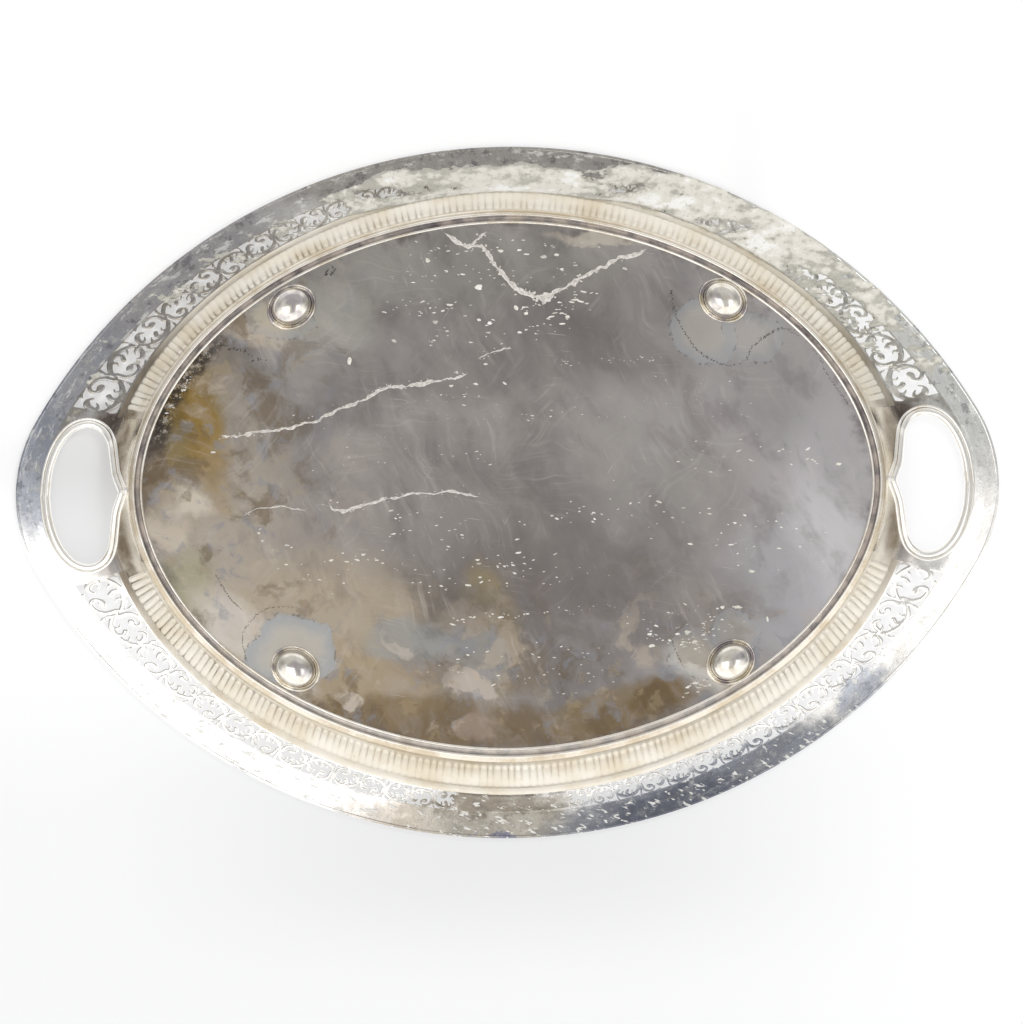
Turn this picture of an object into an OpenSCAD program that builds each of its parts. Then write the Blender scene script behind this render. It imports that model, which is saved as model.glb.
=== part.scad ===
// Two-handled oval gallery tray in plated metal: a flat oval floor, a reeded and pierced
// flaring wall, two hand holes edged with wire, and four oval bun feet.
// The origin is under the middle of the tray, on the plane that its feet stand on.

/* [Tray] */
// Overall length, from tip to tip
tray_l = 600; // [580:5:620]
// Overall width
tray_w = 424; // [410:2:436]
// Radius of each long side of the outline
side_r = 332; // [325:1:340]
// Height of the rim above the underside of the floor
rim_h = 33.5; // [30:0.5:40]
// Thickness of the rim and wall sheet
sheet_t = 1.2; // [0.8:0.1:1.6]

/* [Floor] */
// Length of the floor plate
floor_l = 452; // [440:2:460]
// Width of the floor plate
floor_w = 330; // [322:2:332]
// Thickness of the floor plate
floor_t = 1.4; // [1:0.1:2]

/* [Wall bands, measured outward from the floor plate] */
// Distance to the lower ends of the reeds
reed_lo = 4.2; // [4:0.1:5.5]
// Distance to the upper ends of the reeds
reed_hi = 17; // [14:0.2:18]
// Distance to the lower edge of the pierced band
rail = 21; // [19:0.5:23]
// Width of the plain border outside the pierced band
border_w = 15; // [12:0.5:16]
// Scrolls of the pierced band between a handle and the solid panel in the middle of a side
scrolls = 14; // [8:2:16]
// Half of the angle that the solid panel in the middle of each side takes up
panel_a = 10; // [8:0.5:13]

/* [Handles] */
// Half of the angle that each handle panel takes up
handle_a = 11.3; // [11:0.1:12.5]
// Radius of the wire round each hand hole
wire_r = 2.2; // [1.6:0.1:2.4]

/* [Feet] */
// Height of the floor above the table
foot_h = 11; // [9:0.5:14]
// Length of each foot over its collar
foot_l = 31; // [28:1:34]
// Width of each foot over its collar
foot_w = 26; // [22:1:26]
// Distance of the feet from the line midway between them
foot_x = 130.5; // [120:0.5:132]
// Distance of the feet from the tray's long axis
foot_y = 109.5; // [100:0.5:110]
// Distance from the tray's middle to the middle of its four feet, toward the left handle
foot_shift = 1.8; // [0:0.2:2]

/* [Hidden] */

// Sections of the two mouldings round the floor: [distance outward, height above the underside]
bead_section = [[-6, 0], [-5.4, -1.2], [-4.2, -1.7], [-3, -1.2], [-2.4, 0]];
wall_foot = [2.5, 1];
// Height and slope of the wall at each of its stations, from its foot to the rim's edge
station_z = [[0, wall_foot[1]], [1, 0.27 * rim_h], [2, 0.7 * rim_h], [3, 0.82 * rim_h], [4, 0.94 * rim_h], [5, rim_h]];
station_slope = [[0, 75], [1, 63], [2, 46], [3, 28], [4, 11], [5, 7.6]];
ring_steps = 96;
edge_wire_r = 1.4;
collar_h = 2;
pad_h = 0.4;
// Exponent of the floor's oval, which is a little leaner than the ellipse that 2 would give
oval_p = 1.9;
// Angle of each foot's long axis, along the edge of the floor beside it
foot_turn = atan(pow(floor_w / floor_l, oval_p) * pow(foot_x / foot_y, oval_p - 1));
// Half of the outline of a hand hole along the middle of its wire, from its outer side to its notch
hole_outline = [
    [281.2, 0], [279, 17], [271.5, 32.5], [256.5, 43.8], [246.8, 40.3],
    [241.6, 33], [239.4, 21], [237.8, 11], [233.5, 0.6]
];
hole_steps = 24;
// The outline is two long arcs that a smaller arc joins at each tip
arc_drop = side_r - tray_w / 2;
tip_r = (side_r * tray_w - pow(tray_l / 2, 2) - pow(tray_w / 2, 2)) / (2 * side_r - tray_l);
tip_x = tray_l / 2 - tip_r;
silver = [0.66, 0.64, 0.61];
cream = [0.86, 0.83, 0.76];
dull = [0.50, 0.48, 0.46];
bright = [0.90, 0.88, 0.84];

// Where a ray from the centre at angle a leaves a circle of radius r centred at [cx, cy]
function ray_out(a, cx, cy, r) =
    let (b = cx * cos(a) + cy * sin(a))
    b + sqrt(b * b - cx * cx - cy * cy + r * r);
function oval_r(a) = pow(pow(abs(cos(a)) / (floor_l / 2), oval_p) + pow(abs(sin(a)) / (floor_w / 2), oval_p), -1 / oval_p);
function outline_r(a) =
    let (
        side = ray_out(a, 0, -arc_drop * sign(sin(a)), side_r),
        past_tip = abs(side * cos(a)) > tip_x * side_r / (side_r - tip_r)
    )
    past_tip ? ray_out(a, tip_x * sign(cos(a)), 0, tip_r) : side;
function wall_w(a) = outline_r(a) - oval_r(a);
function stations(a) = [wall_foot[0], reed_lo, reed_hi, rail, wall_w(a) - border_w, wall_w(a)];
function polar(a, r, z) = [r * cos(a), r * sin(a), foot_h + z];

// A point of the wall at angle a and station t, on its underside or a sheet's thickness above it
function wall_point(a, t, top) =
    let (
        lift = top ? sheet_t : 0,
        s = stations(a),
        out = lookup(t, [for (k = [0:5]) [k, s[k]]]),
        slope = lookup(t, station_slope)
    )
    polar(a, oval_r(a) + out - lift * sin(slope), lookup(t, station_z) + lift * cos(slope));
// The station of the wall over a point of the plan
function station_at(x, y) =
    let (a = atan2(y, x), s = stations(a))
    lookup(norm([x, y]) - oval_r(a), [for (k = [0:5]) [s[k], k]]);
function wall_over(p, top) = wall_point(atan2(p[1], p[0]), station_at(p[0], p[1]), top);

// A smooth curve through points, with steps stretches between each two of them
function spline(p, steps) = [
    for (i = [0:len(p) - 2], k = [0:steps - 1])
        let (
            a = p[max(i - 1, 0)], b = p[i], c = p[i + 1], d = p[min(i + 2, len(p) - 1)],
            u = k / steps
        )
        b + 0.5 * u * (c - a + u * (2 * a - 5 * b + 4 * c - d + u * (3 * (b - c) + d - a))),
    p[len(p) - 1]
];

// A sheet between an underside and a top, both grids of points [column][row]; keep says which cells exist
module sheet(under, over, keep, closed = false) {
    cols = len(under);
    rows = len(under[0]);
    last = closed ? cols - 1 : cols - 2;
    function at(i, j) = (i % cols) * rows + j;
    function kept(i, j) =
        let (c = closed ? (i + cols) % cols : i)
        c >= 0 && c <= last && j >= 0 && j < rows - 1 && keep[c][j];
    n = cols * rows;
    faces = [
        for (i = [0:last], j = [0:rows - 2])
            if (kept(i, j))
                let (a = at(i, j), b = at(i + 1, j), c = at(i + 1, j + 1), d = at(i, j + 1))
                each [
                    [a, d, c], [a, c, b], [n + a, n + b, n + c], [n + a, n + c, n + d],
                    if (!kept(i, j - 1)) each [[a, b, n + b], [a, n + b, n + a]],
                    if (!kept(i, j + 1)) each [[c, d, n + d], [c, n + d, n + c]],
                    if (!kept(i - 1, j)) each [[d, a, n + a], [d, n + a, n + d]],
                    if (!kept(i + 1, j)) each [[b, c, n + c], [b, n + c, n + b]]
                ]
    ];
    polyhedron([for (c = under) each c, for (c = over) each c], faces, convexity = 8);
}

function all_cells(cols, rows) = [for (i = [0:cols - 1]) [for (j = [0:rows - 1]) true]];

// A band of the wall between two angles, over a list of stations
module wall_band(from, to, steps, rows) {
    angles = [for (i = [0:steps]) from + (to - from) * i / steps];
    sheet(
        [for (a = angles) [for (t = rows) wall_point(a, t, false)]],
        [for (a = angles) [for (t = rows) wall_point(a, t, true)]],
        all_cells(steps, len(rows) - 1)
    );
}

// A closed tube through rings of points, each ring with the same number
module tube(rings) {
    n = len(rings);
    m = len(rings[0]);
    polyhedron(
        [for (r = rings) each r],
        [
            for (i = [0:n - 1], j = [0:m - 1])
                let (
                    a = i * m + j, b = ((i + 1) % n) * m + j,
                    c = ((i + 1) % n) * m + (j + 1) % m, d = i * m + (j + 1) % m
                )
                each [[a, b, c], [a, c, d]]
        ],
        convexity = 8
    );
}

module floor_ring(section) {
    tube([
        for (i = [0:ring_steps - 1])
            let (a = -360 * i / ring_steps)
            [for (p = section) polar(a, oval_r(a) + p[0], p[1])]
    ]);
}

module base_plate() {
    color(dull)
        translate([0, 0, foot_h])
            linear_extrude(floor_t)
                polygon([for (i = [0:ring_steps - 1]) let (a = 360 * i / ring_steps) oval_r(a) * [cos(a), sin(a)]]);
}

module base_bead() {
    color(bright) floor_ring(bead_section);
}

module base_moulding() {
    wall_top = [wall_foot[0] - sheet_t * sin(75), wall_foot[1] + sheet_t * cos(75)];
    color(silver)
        floor_ring([[-1.4, 0], [-0.7, -1], [0.8, -1], [2.1, -0.2], wall_foot, wall_top, [0, floor_t], [0, 0]]);
}

module reeded_wall(side) {
    color(cream)
        wall_band(side + handle_a, side + 180 - handle_a, 40, [0, 1, 1.5, 2, 3]);
}

// The pierced band: a waving stem between two rails, which it meets at the top of every second
// wave and at the foot of the others, with a solid panel in the middle of the side
module pierced_gallery(side) {
    steps = 4;
    wave_h = 0.27;
    stem = 0.09;
    edge = 0.12;
    count = scrolls * steps;
    near = [for (k = [0:count]) handle_a + (90 - panel_a - handle_a) * k / count];
    angles = concat(near, [for (k = [1:2]) 90 - panel_a + panel_a * k * 2 / 3], [for (k = [count:-1:0]) 180 - near[k]]);
    function step_of(i) = i <= count ? i : i >= len(angles) - 1 - count ? len(angles) - 1 - i : count;
    function rows(i) =
        let (w = 0.5 + wave_h * cos(180 * step_of(i) / steps))
        [0, edge, w - stem, w + stem, 1 - edge, 1];
    function grid(top) = [
        for (i = [0:len(angles) - 1]) [
            for (v = rows(i)) wall_point(side + angles[i], 3 + v, top)
        ]
    ];
    function near_crest(i) = cos(180 * (step_of(i) + step_of(i + 1)) / 2 / steps);
    function solid(i) = i == 0 || i == len(angles) - 2 || (i >= count && i <= count + 2);
    keep = [
        for (i = [0:len(angles) - 2]) [
            for (j = [0:4])
                j % 2 == 0 || solid(i) || (j == 3 ? near_crest(i) > 0.9 : near_crest(i) < -0.9)
        ]
    ];
    color(silver) sheet(grid(false), grid(true), keep);
}

function hole_half() = spline(hole_outline, hole_steps / (len(hole_outline) - 1));
// The whole outline of a hand hole, grown by a distance
function hole_loop(grow) =
    let (
        half = hole_half(),
        loop = concat(half, [for (i = [hole_steps:-1:0]) [half[i][0], -half[i][1]]]),
        trimmed = [for (i = [0:len(loop) - 1]) if (i != len(loop) - 1) loop[i]],
        n = len(trimmed)
    )
    [
        for (i = [0:n - 1])
            let (
                d = trimmed[(i + 1) % n] - trimmed[(i + n - 1) % n],
                normal = [d[1], -d[0]] / norm(d)
            )
            trimmed[i] + grow * normal
    ];
// The edge of a handle panel, matched point by point to the hole's outline
function panel_edge() =
    let (
        third = hole_steps / 3,
        half = [
            for (i = [0:hole_steps])
                i <= third ? [handle_a * i / third, 4]
                : i <= 2 * third ? [handle_a, 4 * (2 - i / third)]
                : [handle_a * (3 - i / third), 0]
        ],
        loop = concat(half, [for (i = [hole_steps:-1:1]) [-half[i][0], half[i][1]]])
    )
    loop;

module handle_panel(turn) {
    edge = panel_edge();
    inner = hole_loop(wire_r - 0.2);
    function ring(i, u, top) =
        let (
            e = wall_point(edge[i][0], edge[i][1], false),
            p = (1 - u) * inner[i] + u * [e[0], e[1]]
        )
        u == 1 ? wall_point(edge[i][0], edge[i][1], top) : wall_over(p, top);
    function grid(top) = [for (i = [0:len(edge) - 1]) [for (u = [0, 0.34, 0.67, 1]) ring(i, u, top)]];
    color(silver)
        rotate([0, 0, turn])
            sheet(grid(false), grid(true), all_cells(len(edge), 3), closed = true);
}

module handle_wire(turn) {
    loop = [for (p = hole_loop(0)) wall_over(p, false) + [0, 0, sheet_t / 2]];
    n = len(loop);
    rings = [
        for (i = [0:n - 1])
            let (
                d = loop[(i + n - 1) % n] - loop[(i + 1) % n],
                across = cross(d, [0, 0, 1]) / norm(cross(d, [0, 0, 1])),
                up = cross(across, d) / norm(d)
            )
            [for (k = [0:7]) loop[i] + wire_r * (cos(45 * k) * across + sin(45 * k) * up)]
    ];
    color(bright) rotate([0, 0, turn]) tube(rings);
}

// The short bar that ties the two ends of a handle's wire to the moulding round the floor
module handle_tie(turn) {
    notch = wall_over(hole_outline[len(hole_outline) - 1], false);
    color(bright)
        rotate([0, 0, turn])
            translate([notch[0] - 4.5, 0, notch[2] - 3.2])
                rotate([0, 58, 0])
                    cylinder(h = 5, r = 1.5, $fn = 32);
}

module rim_border() {
    angles = [for (i = [0:ring_steps - 1]) 360 * i / ring_steps];
    color(silver)
        sheet(
            [for (a = angles) [for (t = [4, 5]) wall_point(a, t, false)]],
            [for (a = angles) [for (t = [4, 5]) wall_point(a, t, true)]],
            all_cells(ring_steps, 1),
            closed = true
        );
}

module rim_edge_wire() {
    color(bright)
        tube([
            for (i = [0:ring_steps - 1])
                let (a = -360 * i / ring_steps)
                [
                    for (k = [0:5])
                        polar(
                            a, outline_r(a) - edge_wire_r * (1 - cos(60 * k)),
                            rim_h + sheet_t / 2 + edge_wire_r * sin(60 * k)
                        )
                ]
        ]);
}

module place_foot(x_side, y_side) {
    translate([x_side * foot_x - foot_shift, y_side * foot_y, 0])
        rotate([0, 0, -x_side * y_side * foot_turn])
            children();
}

function foot_ring(grow, steps) =
    [for (i = [0:steps - 1]) let (a = 360 * i / steps) [grow * foot_l / 2 * cos(a), grow * foot_w / 2 * sin(a)]];

module foot_collar(x_side, y_side) {
    color(silver)
        place_foot(x_side, y_side)
            translate([0, 0, foot_h - collar_h])
                linear_extrude(collar_h)
                    polygon(foot_ring(1, 40));
}

module foot_dome(x_side, y_side) {
    steps = 28;
    levels = 6;
    top = foot_h - collar_h;
    rings = [
        for (k = [0:levels])
            let (a = 75 * k / levels, p = foot_ring(0.84 * cos(a), steps))
            [for (q = p) [q[0], q[1], top - (top - pad_h) * sin(a) / sin(75)]]
    ];
    n = len(rings) * steps;
    color(bright)
        place_foot(x_side, y_side) {
            polyhedron(
                [for (r = rings) each r],
                [
                    [for (j = [steps - 1:-1:0]) j],
                    [for (j = [0:steps - 1]) levels * steps + j],
                    for (k = [0:levels - 1], j = [0:steps - 1])
                        let (
                            a = k * steps + j, b = k * steps + (j + 1) % steps,
                            c = (k + 1) * steps + (j + 1) % steps, d = (k + 1) * steps + j
                        )
                        each [[a, b, c], [a, c, d]]
                ],
                convexity = 2
            );
            linear_extrude(pad_h) polygon(foot_ring(0.84 * cos(75), steps));
        }
}

base_plate();
base_bead();
base_moulding();
reeded_wall(180);  // reeded_wall_front
reeded_wall(0);  // reeded_wall_back
pierced_gallery(180);  // pierced_gallery_front
pierced_gallery(0);  // pierced_gallery_back
handle_panel(180);  // handle_panel_left
handle_panel(0);  // handle_panel_right
rim_border();
rim_edge_wire();
handle_wire(180);  // handle_wire_left
handle_wire(0);  // handle_wire_right
handle_tie(180);  // handle_tie_left
handle_tie(0);  // handle_tie_right
foot_collar(-1, -1);  // foot_collar_front_left
foot_collar(1, -1);  // foot_collar_front_right
foot_collar(-1, 1);  // foot_collar_back_left
foot_collar(1, 1);  // foot_collar_back_right
foot_dome(-1, -1);  // foot_dome_front_left
foot_dome(1, -1);  // foot_dome_front_right
foot_dome(-1, 1);  // foot_dome_back_left
foot_dome(1, 1);  // foot_dome_back_right
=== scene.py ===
import math
import random

import bpy
import numpy as np
from mathutils import Matrix, Vector


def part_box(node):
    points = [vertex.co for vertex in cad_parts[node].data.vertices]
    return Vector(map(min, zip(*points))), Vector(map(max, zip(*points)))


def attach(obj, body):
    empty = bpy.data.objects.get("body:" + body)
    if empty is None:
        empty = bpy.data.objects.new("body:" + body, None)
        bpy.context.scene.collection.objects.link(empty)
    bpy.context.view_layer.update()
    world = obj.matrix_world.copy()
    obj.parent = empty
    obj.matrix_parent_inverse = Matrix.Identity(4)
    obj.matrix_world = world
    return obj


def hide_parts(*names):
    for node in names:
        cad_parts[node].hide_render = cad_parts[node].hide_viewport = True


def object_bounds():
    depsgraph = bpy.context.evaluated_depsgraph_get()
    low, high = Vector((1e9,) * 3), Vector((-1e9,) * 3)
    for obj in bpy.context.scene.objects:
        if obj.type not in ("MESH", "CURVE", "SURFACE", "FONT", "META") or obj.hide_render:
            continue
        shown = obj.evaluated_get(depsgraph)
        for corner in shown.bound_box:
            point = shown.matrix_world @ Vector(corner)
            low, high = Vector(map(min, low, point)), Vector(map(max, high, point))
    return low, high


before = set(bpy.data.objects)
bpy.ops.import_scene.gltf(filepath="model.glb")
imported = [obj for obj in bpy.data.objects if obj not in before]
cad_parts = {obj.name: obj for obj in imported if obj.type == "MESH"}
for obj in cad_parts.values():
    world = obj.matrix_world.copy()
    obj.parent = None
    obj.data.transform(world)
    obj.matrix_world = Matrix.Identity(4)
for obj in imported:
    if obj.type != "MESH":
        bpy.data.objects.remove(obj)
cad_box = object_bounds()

# ---------------------------------------------------------------- sizes, in metres, from the frame
MM = 0.001
plate_lo, plate_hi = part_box("base_plate")
OVAL_A, OVAL_B = plate_hi.x, plate_hi.y          # half axes of the floor plate
OVAL_P = 1.9                                      # its exponent: 2 would be an ellipse
FLOOR_Z, FLOOR_TOP = plate_lo.z, plate_hi.z
TRAY_A, TRAY_B = cad_box[1].x, cad_box[1].y      # half length and half width of the tray
edge_lo, edge_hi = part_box("rim_edge_wire")
EDGE_WIRE_R = (edge_hi.z - edge_lo.z) / 2
SHEET_T = 0.0012
RIM_H = (edge_hi.z + edge_lo.z) / 2 - FLOOR_Z - SHEET_T / 2
SIDE_R = 0.332                                    # radius of each long side of the outline
BORDER_W = 0.015
HANDLE_A = math.radians(11.3)                     # half angle of each handle panel
PANEL_A = math.radians(10.0)                      # half angle of the solid panel in each side
WIRE_R = 0.0022
SCROLLS = 14                                      # half waves of the scroll in each quarter

# The wall's stations, from its foot to the rim's edge: distance out, share of the rim's height, slope
WALL_OUT = (0.0025, 0.0042, 0.017, 0.021)
WALL_RISE = (0.03, 0.27, 0.70, 0.82, 0.94, 1.0)
WALL_SLOPE = tuple(math.radians(d) for d in (80, 60, 46, 26, 10, 7))

# The outline is two long arcs that a smaller arc joins at each tip
ARC_DROP = SIDE_R - TRAY_B
TIP_R = (2 * SIDE_R * TRAY_B - TRAY_A**2 - TRAY_B**2) / (2 * SIDE_R - 2 * TRAY_A)
TIP_X = TRAY_A - TIP_R

# Half of a hand hole's outline along the middle of its wire, from its outer side to its notch
HOLE = ((0.2812, 0), (0.2792, 0.0165), (0.2735, 0.0312), (0.2652, 0.0408), (0.2552, 0.044),
        (0.2464, 0.0405), (0.2412, 0.0322), (0.2392, 0.021), (0.2376, 0.011), (0.2335, 0.0006))


# ---------------------------------------------------------------- the tray's surfaces
def ray_out(a, cx, cy, r):
    """How far a ray from the centre at angle a goes before it leaves a circle."""
    b = cx * np.cos(a) + cy * np.sin(a)
    return b + np.sqrt(np.maximum(b * b - cx * cx - cy * cy + r * r, 0))


def oval_r(a):
    reach = (np.abs(np.cos(a)) / OVAL_A) ** OVAL_P + (np.abs(np.sin(a)) / OVAL_B) ** OVAL_P
    return reach ** (-1 / OVAL_P)


def outline_r(a):
    side = ray_out(a, 0, -ARC_DROP * np.sign(np.sin(a)), SIDE_R)
    tip = ray_out(a, TIP_X * np.sign(np.cos(a)), 0, TIP_R)
    past_tip = np.abs(side * np.cos(a)) > TIP_X * SIDE_R / (SIDE_R - TIP_R)
    return np.where(past_tip, tip, side)


def profile(a, t):
    """Distance out and height of the wall's underside at angle a and station t, and its direction."""
    width = outline_r(a) - oval_r(a)
    out = np.stack([np.full_like(width, s) for s in WALL_OUT] + [width - BORDER_W, width])
    k = np.clip(np.floor(t), 0, 4).astype(int)
    u = t - k
    pick = tuple(np.indices(k.shape))
    p0, p1 = out[(k, *pick)], out[(k + 1, *pick)]
    z = np.array(WALL_RISE) * RIM_H
    z0, z1 = z[k], z[k + 1]
    slope = np.array(WALL_SLOPE)
    length = np.hypot(p1 - p0, z1 - z0)

    def hermite(q0, q1, d0, d1):
        value = (q0 * (2 * u**3 - 3 * u**2 + 1) + q1 * (3 * u**2 - 2 * u**3)
                 + d0 * (u**3 - 2 * u**2 + u) + d1 * (u**3 - u**2))
        speed = (q1 - q0) * 6 * (u - u**2) + d0 * (3 * u**2 - 4 * u + 1) + d1 * (3 * u**2 - 2 * u)
        return value, speed

    s, ds = hermite(p0, p1, length * np.cos(slope[k]), length * np.cos(slope[k + 1]))
    h, dh = hermite(z0, z1, length * np.sin(slope[k]), length * np.sin(slope[k + 1]))
    n = np.maximum(np.hypot(ds, dh), 1e-12)
    return s, h, dh / n, ds / n


def wall(a, t, lift=0.0):
    """Points of the wall at angles a and stations t, lifted off its underside into the tray."""
    a, t = np.broadcast_arrays(np.asarray(a, float), np.asarray(t, float))
    s, h, rise, run = profile(a, t)
    r = oval_r(a) + s - lift * rise
    return np.stack([r * np.cos(a), r * np.sin(a), FLOOR_Z + h + lift * run], -1)


def station_over(x, y):
    """The wall's station over points of the plan."""
    a = np.arctan2(y, x)
    s = np.hypot(x, y) - oval_r(a)
    lo, hi = np.zeros_like(s), np.full_like(s, 5.0)
    for _ in range(24):
        mid = (lo + hi) / 2
        inside = profile(a, mid)[0] < s
        lo, hi = np.where(inside, mid, lo), np.where(inside, hi, mid)
    return (lo + hi) / 2


def wall_over(x, y, lift=0.0):
    return wall(np.arctan2(y, x), station_over(x, y), lift)


def clumps(x, y, seed, octaves=4):
    """Uneven noise between 0 and 1, whose largest clumps are about 1 across."""
    lattice = np.random.default_rng(seed).random((64, 64))
    total = 0
    for k in range(octaves):
        u, v = x * 2**k + 17.3 * k, y * 2**k + 9.1 * k
        i, j = np.floor(u).astype(int), np.floor(v).astype(int)
        f, h = u - i, v - j
        f, h = f * f * (3 - 2 * f), h * h * (3 - 2 * h)
        i0, i1, j0, j1 = i % 64, (i + 1) % 64, j % 64, (j + 1) % 64
        low = lattice[i0, j0] * (1 - f) + lattice[i1, j0] * f
        high = lattice[i0, j1] * (1 - f) + lattice[i1, j1] * f
        total = total + 0.5 ** (k + 1) * (low * (1 - h) + high * h)
    return total / (1 - 0.5**octaves)


def turns(n):
    """Angles of n even steps, once round."""
    return np.linspace(0, 2 * math.pi, n, endpoint=False)


def ripple(x, y, size, seed=0):
    """Smooth, uneven hills and hollows between -1 and 1 about as wide as size."""
    rng = random.Random(seed)
    total = 0
    for _ in range(5):
        turn = rng.uniform(0, 2 * math.pi)
        wave = 2 * math.pi / (size * rng.uniform(0.8, 2.2))
        total = total + np.sin(wave * (x * math.cos(turn) + y * math.sin(turn)) + rng.uniform(0, 6))
    return total / 3.2


# ---------------------------------------------------------------- mesh helpers
def put_object(name, data):
    thing = bpy.data.objects.new(name, data)
    bpy.context.collection.objects.link(thing)
    return thing


def new_piece(name, points, faces, sharp=35, band=None):
    """A smooth-shaded piece; band holds angle, station and depth for the material of each point."""
    mesh = bpy.data.meshes.new(name)
    mesh.from_pydata([tuple(p) for p in points], [], faces)
    mesh.validate()
    mesh.update()
    mesh.polygons.foreach_set("use_smooth", [True] * len(mesh.polygons))
    mesh.set_sharp_from_angle(angle=math.radians(sharp))
    if band is not None:
        layer = mesh.attributes.new("band", "FLOAT_VECTOR", "POINT")
        layer.data.foreach_set("vector", np.asarray(band, np.float32).ravel())
    return put_object(name, mesh)


def grid_faces(cols, rows, closed_cols=False, closed_rows=False, start=0, flip=False):
    faces = []
    for i in range(cols if closed_cols else cols - 1):
        for j in range(rows if closed_rows else rows - 1):
            a, b = i * rows + j, (i + 1) % cols * rows + j
            c, d = (i + 1) % cols * rows + (j + 1) % rows, i * rows + (j + 1) % rows
            face = (a, b, c, d) if flip else (a, d, c, b)
            faces.append(tuple(start + v for v in face))
    return faces


def sheet_piece(name, under, over, closed=False, sharp=35, band=None):
    """A sheet between an underside and a top, both arrays of points [column, row]."""
    cols, rows = under.shape[:2]
    n = cols * rows
    faces = grid_faces(cols, rows, closed) + grid_faces(cols, rows, closed, start=n, flip=True)
    for i in range(cols if closed else cols - 1):
        a, b = i * rows, (i + 1) % cols * rows
        c, d = b + rows - 1, a + rows - 1
        faces += [(a, b, n + b, n + a), (c, d, n + d, n + c)]
    if not closed:
        last = (cols - 1) * rows
        for j in range(rows - 1):
            faces += [(j + 1, j, n + j, n + j + 1), (last + j, last + j + 1, n + last + j + 1, n + last + j)]
    points = np.concatenate([under.reshape(-1, 3), over.reshape(-1, 3)])
    if band is not None:
        band = np.concatenate([band.reshape(-1, 3)] * 2)
    return new_piece(name, points, faces, sharp, band)


def ring_piece(name, section, steps=480, sharp=50):
    """A moulding round the floor: a closed section of (distance out, height), swept round the oval."""
    a = -turns(steps)[:, None]
    s = np.array([p[0] for p in section])[None]
    z = np.array([p[1] for p in section])[None]
    r = oval_r(a) + s
    points = np.stack([r * np.cos(a), r * np.sin(a), FLOOR_Z + z + 0 * a], -1)
    band = np.stack([a + 0 * r, s / MM + 0 * r, z / MM + 0 * r], -1)
    faces = grid_faces(steps, len(section), True, True, flip=True)
    return new_piece(name, points.reshape(-1, 3), faces, sharp, band.reshape(-1, 3))


def tube_piece(name, centre, radius, sides=16, closed=True):
    """A round tube along points."""
    n = len(centre)
    if closed:
        along = np.roll(centre, 1, 0) - np.roll(centre, -1, 0)
    else:
        along = -np.gradient(centre, axis=0)
    along /= np.linalg.norm(along, axis=1, keepdims=True)
    across = np.cross(along, [0, 0, 1])
    across /= np.linalg.norm(across, axis=1, keepdims=True)
    up = np.cross(across, along)
    k = turns(sides)[None, :, None]
    radius = np.broadcast_to(np.asarray(radius, float), n)[:, None, None]
    points = centre[:, None] + radius * (np.cos(k) * across[:, None] + np.sin(k) * up[:, None])
    faces = grid_faces(n, sides, closed, True, flip=True)
    if not closed:
        faces += [tuple(range(sides)), tuple(range(n * sides - 1, (n - 1) * sides - 1, -1))]
    return new_piece(name, points.reshape(-1, 3), faces, 50)


def cut_sheet(name, angles, stations, field, lift_under, lift_over, sharp=40, turn=0.0, shade=None):
    """The part of a wall sheet where field is positive, cut smoothly along its edge.

    field and the lifts are arrays [angle, station]; lifts are off the wall's underside, into the tray.
    The material's third band value is shade, or the field where there is none.
    """
    rows = len(stations)
    inside = field > 0
    where, index, polygons = [], {}, []

    def vertex(key, i, j):
        if key not in index:
            index[key] = len(where)
            where.append((i, j))
        return index[key]

    any_in = inside[:-1, :-1] | inside[1:, :-1] | inside[1:, 1:] | inside[:-1, 1:]
    for i, j in zip(*np.nonzero(any_in)):
        i, j = int(i), int(j)
        corners = ((i, j), (i, j + 1), (i + 1, j + 1), (i + 1, j))
        polygon = []
        for k in range(4):
            p, q = corners[k], corners[(k + 1) % 4]
            if inside[p]:
                polygon.append(vertex(p, *p))
            if inside[p] != inside[q]:
                lo, hi = min(p, q), max(p, q)
                u = min(max(field[lo] / (field[lo] - field[hi]), 0.02), 0.98)
                polygon.append(vertex((lo, hi), lo[0] + u * (hi[0] - lo[0]), lo[1] + u * (hi[1] - lo[1])))
        polygons.append(polygon)
    at = np.array(where)
    i0 = np.minimum(at[:, 0].astype(int), len(angles) - 2)
    j0 = np.minimum(at[:, 1].astype(int), rows - 2)
    u, v = at[:, 0] - i0, at[:, 1] - j0

    def sample(g):
        return ((1 - u) * (1 - v) * g[i0, j0] + u * (1 - v) * g[i0 + 1, j0]
                + (1 - u) * v * g[i0, j0 + 1] + u * v * g[i0 + 1, j0 + 1])

    a = np.interp(at[:, 0], np.arange(len(angles)), angles) + turn
    t = np.interp(at[:, 1], np.arange(rows), stations)
    under, over = wall(a, t, sample(lift_under)), wall(a, t, sample(lift_over))
    depth = sample(field if shade is None else shade)
    n = len(at)
    edges = {}
    for polygon in polygons:
        for p, q in zip(polygon, polygon[1:] + polygon[:1]):
            if edges.pop((q, p), None) is None:
                edges[(p, q)] = True
    faces = [tuple(p) for p in polygons]
    faces += [tuple(n + v for v in reversed(p)) for p in polygons]
    faces += [(q, p, n + p, n + q) for p, q in edges]
    band = np.concatenate([np.stack([a, t, depth], -1)] * 2)
    return new_piece(name, np.concatenate([under, over]), faces, sharp, band)


def arc(cx, cz, r, start, end, steps):
    """Points of an arc in a section, from one angle to another in degrees."""
    return [(cx + r * math.cos(math.radians(d)), cz + r * math.sin(math.radians(d)))
            for d in np.linspace(start, end, steps)]


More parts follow.
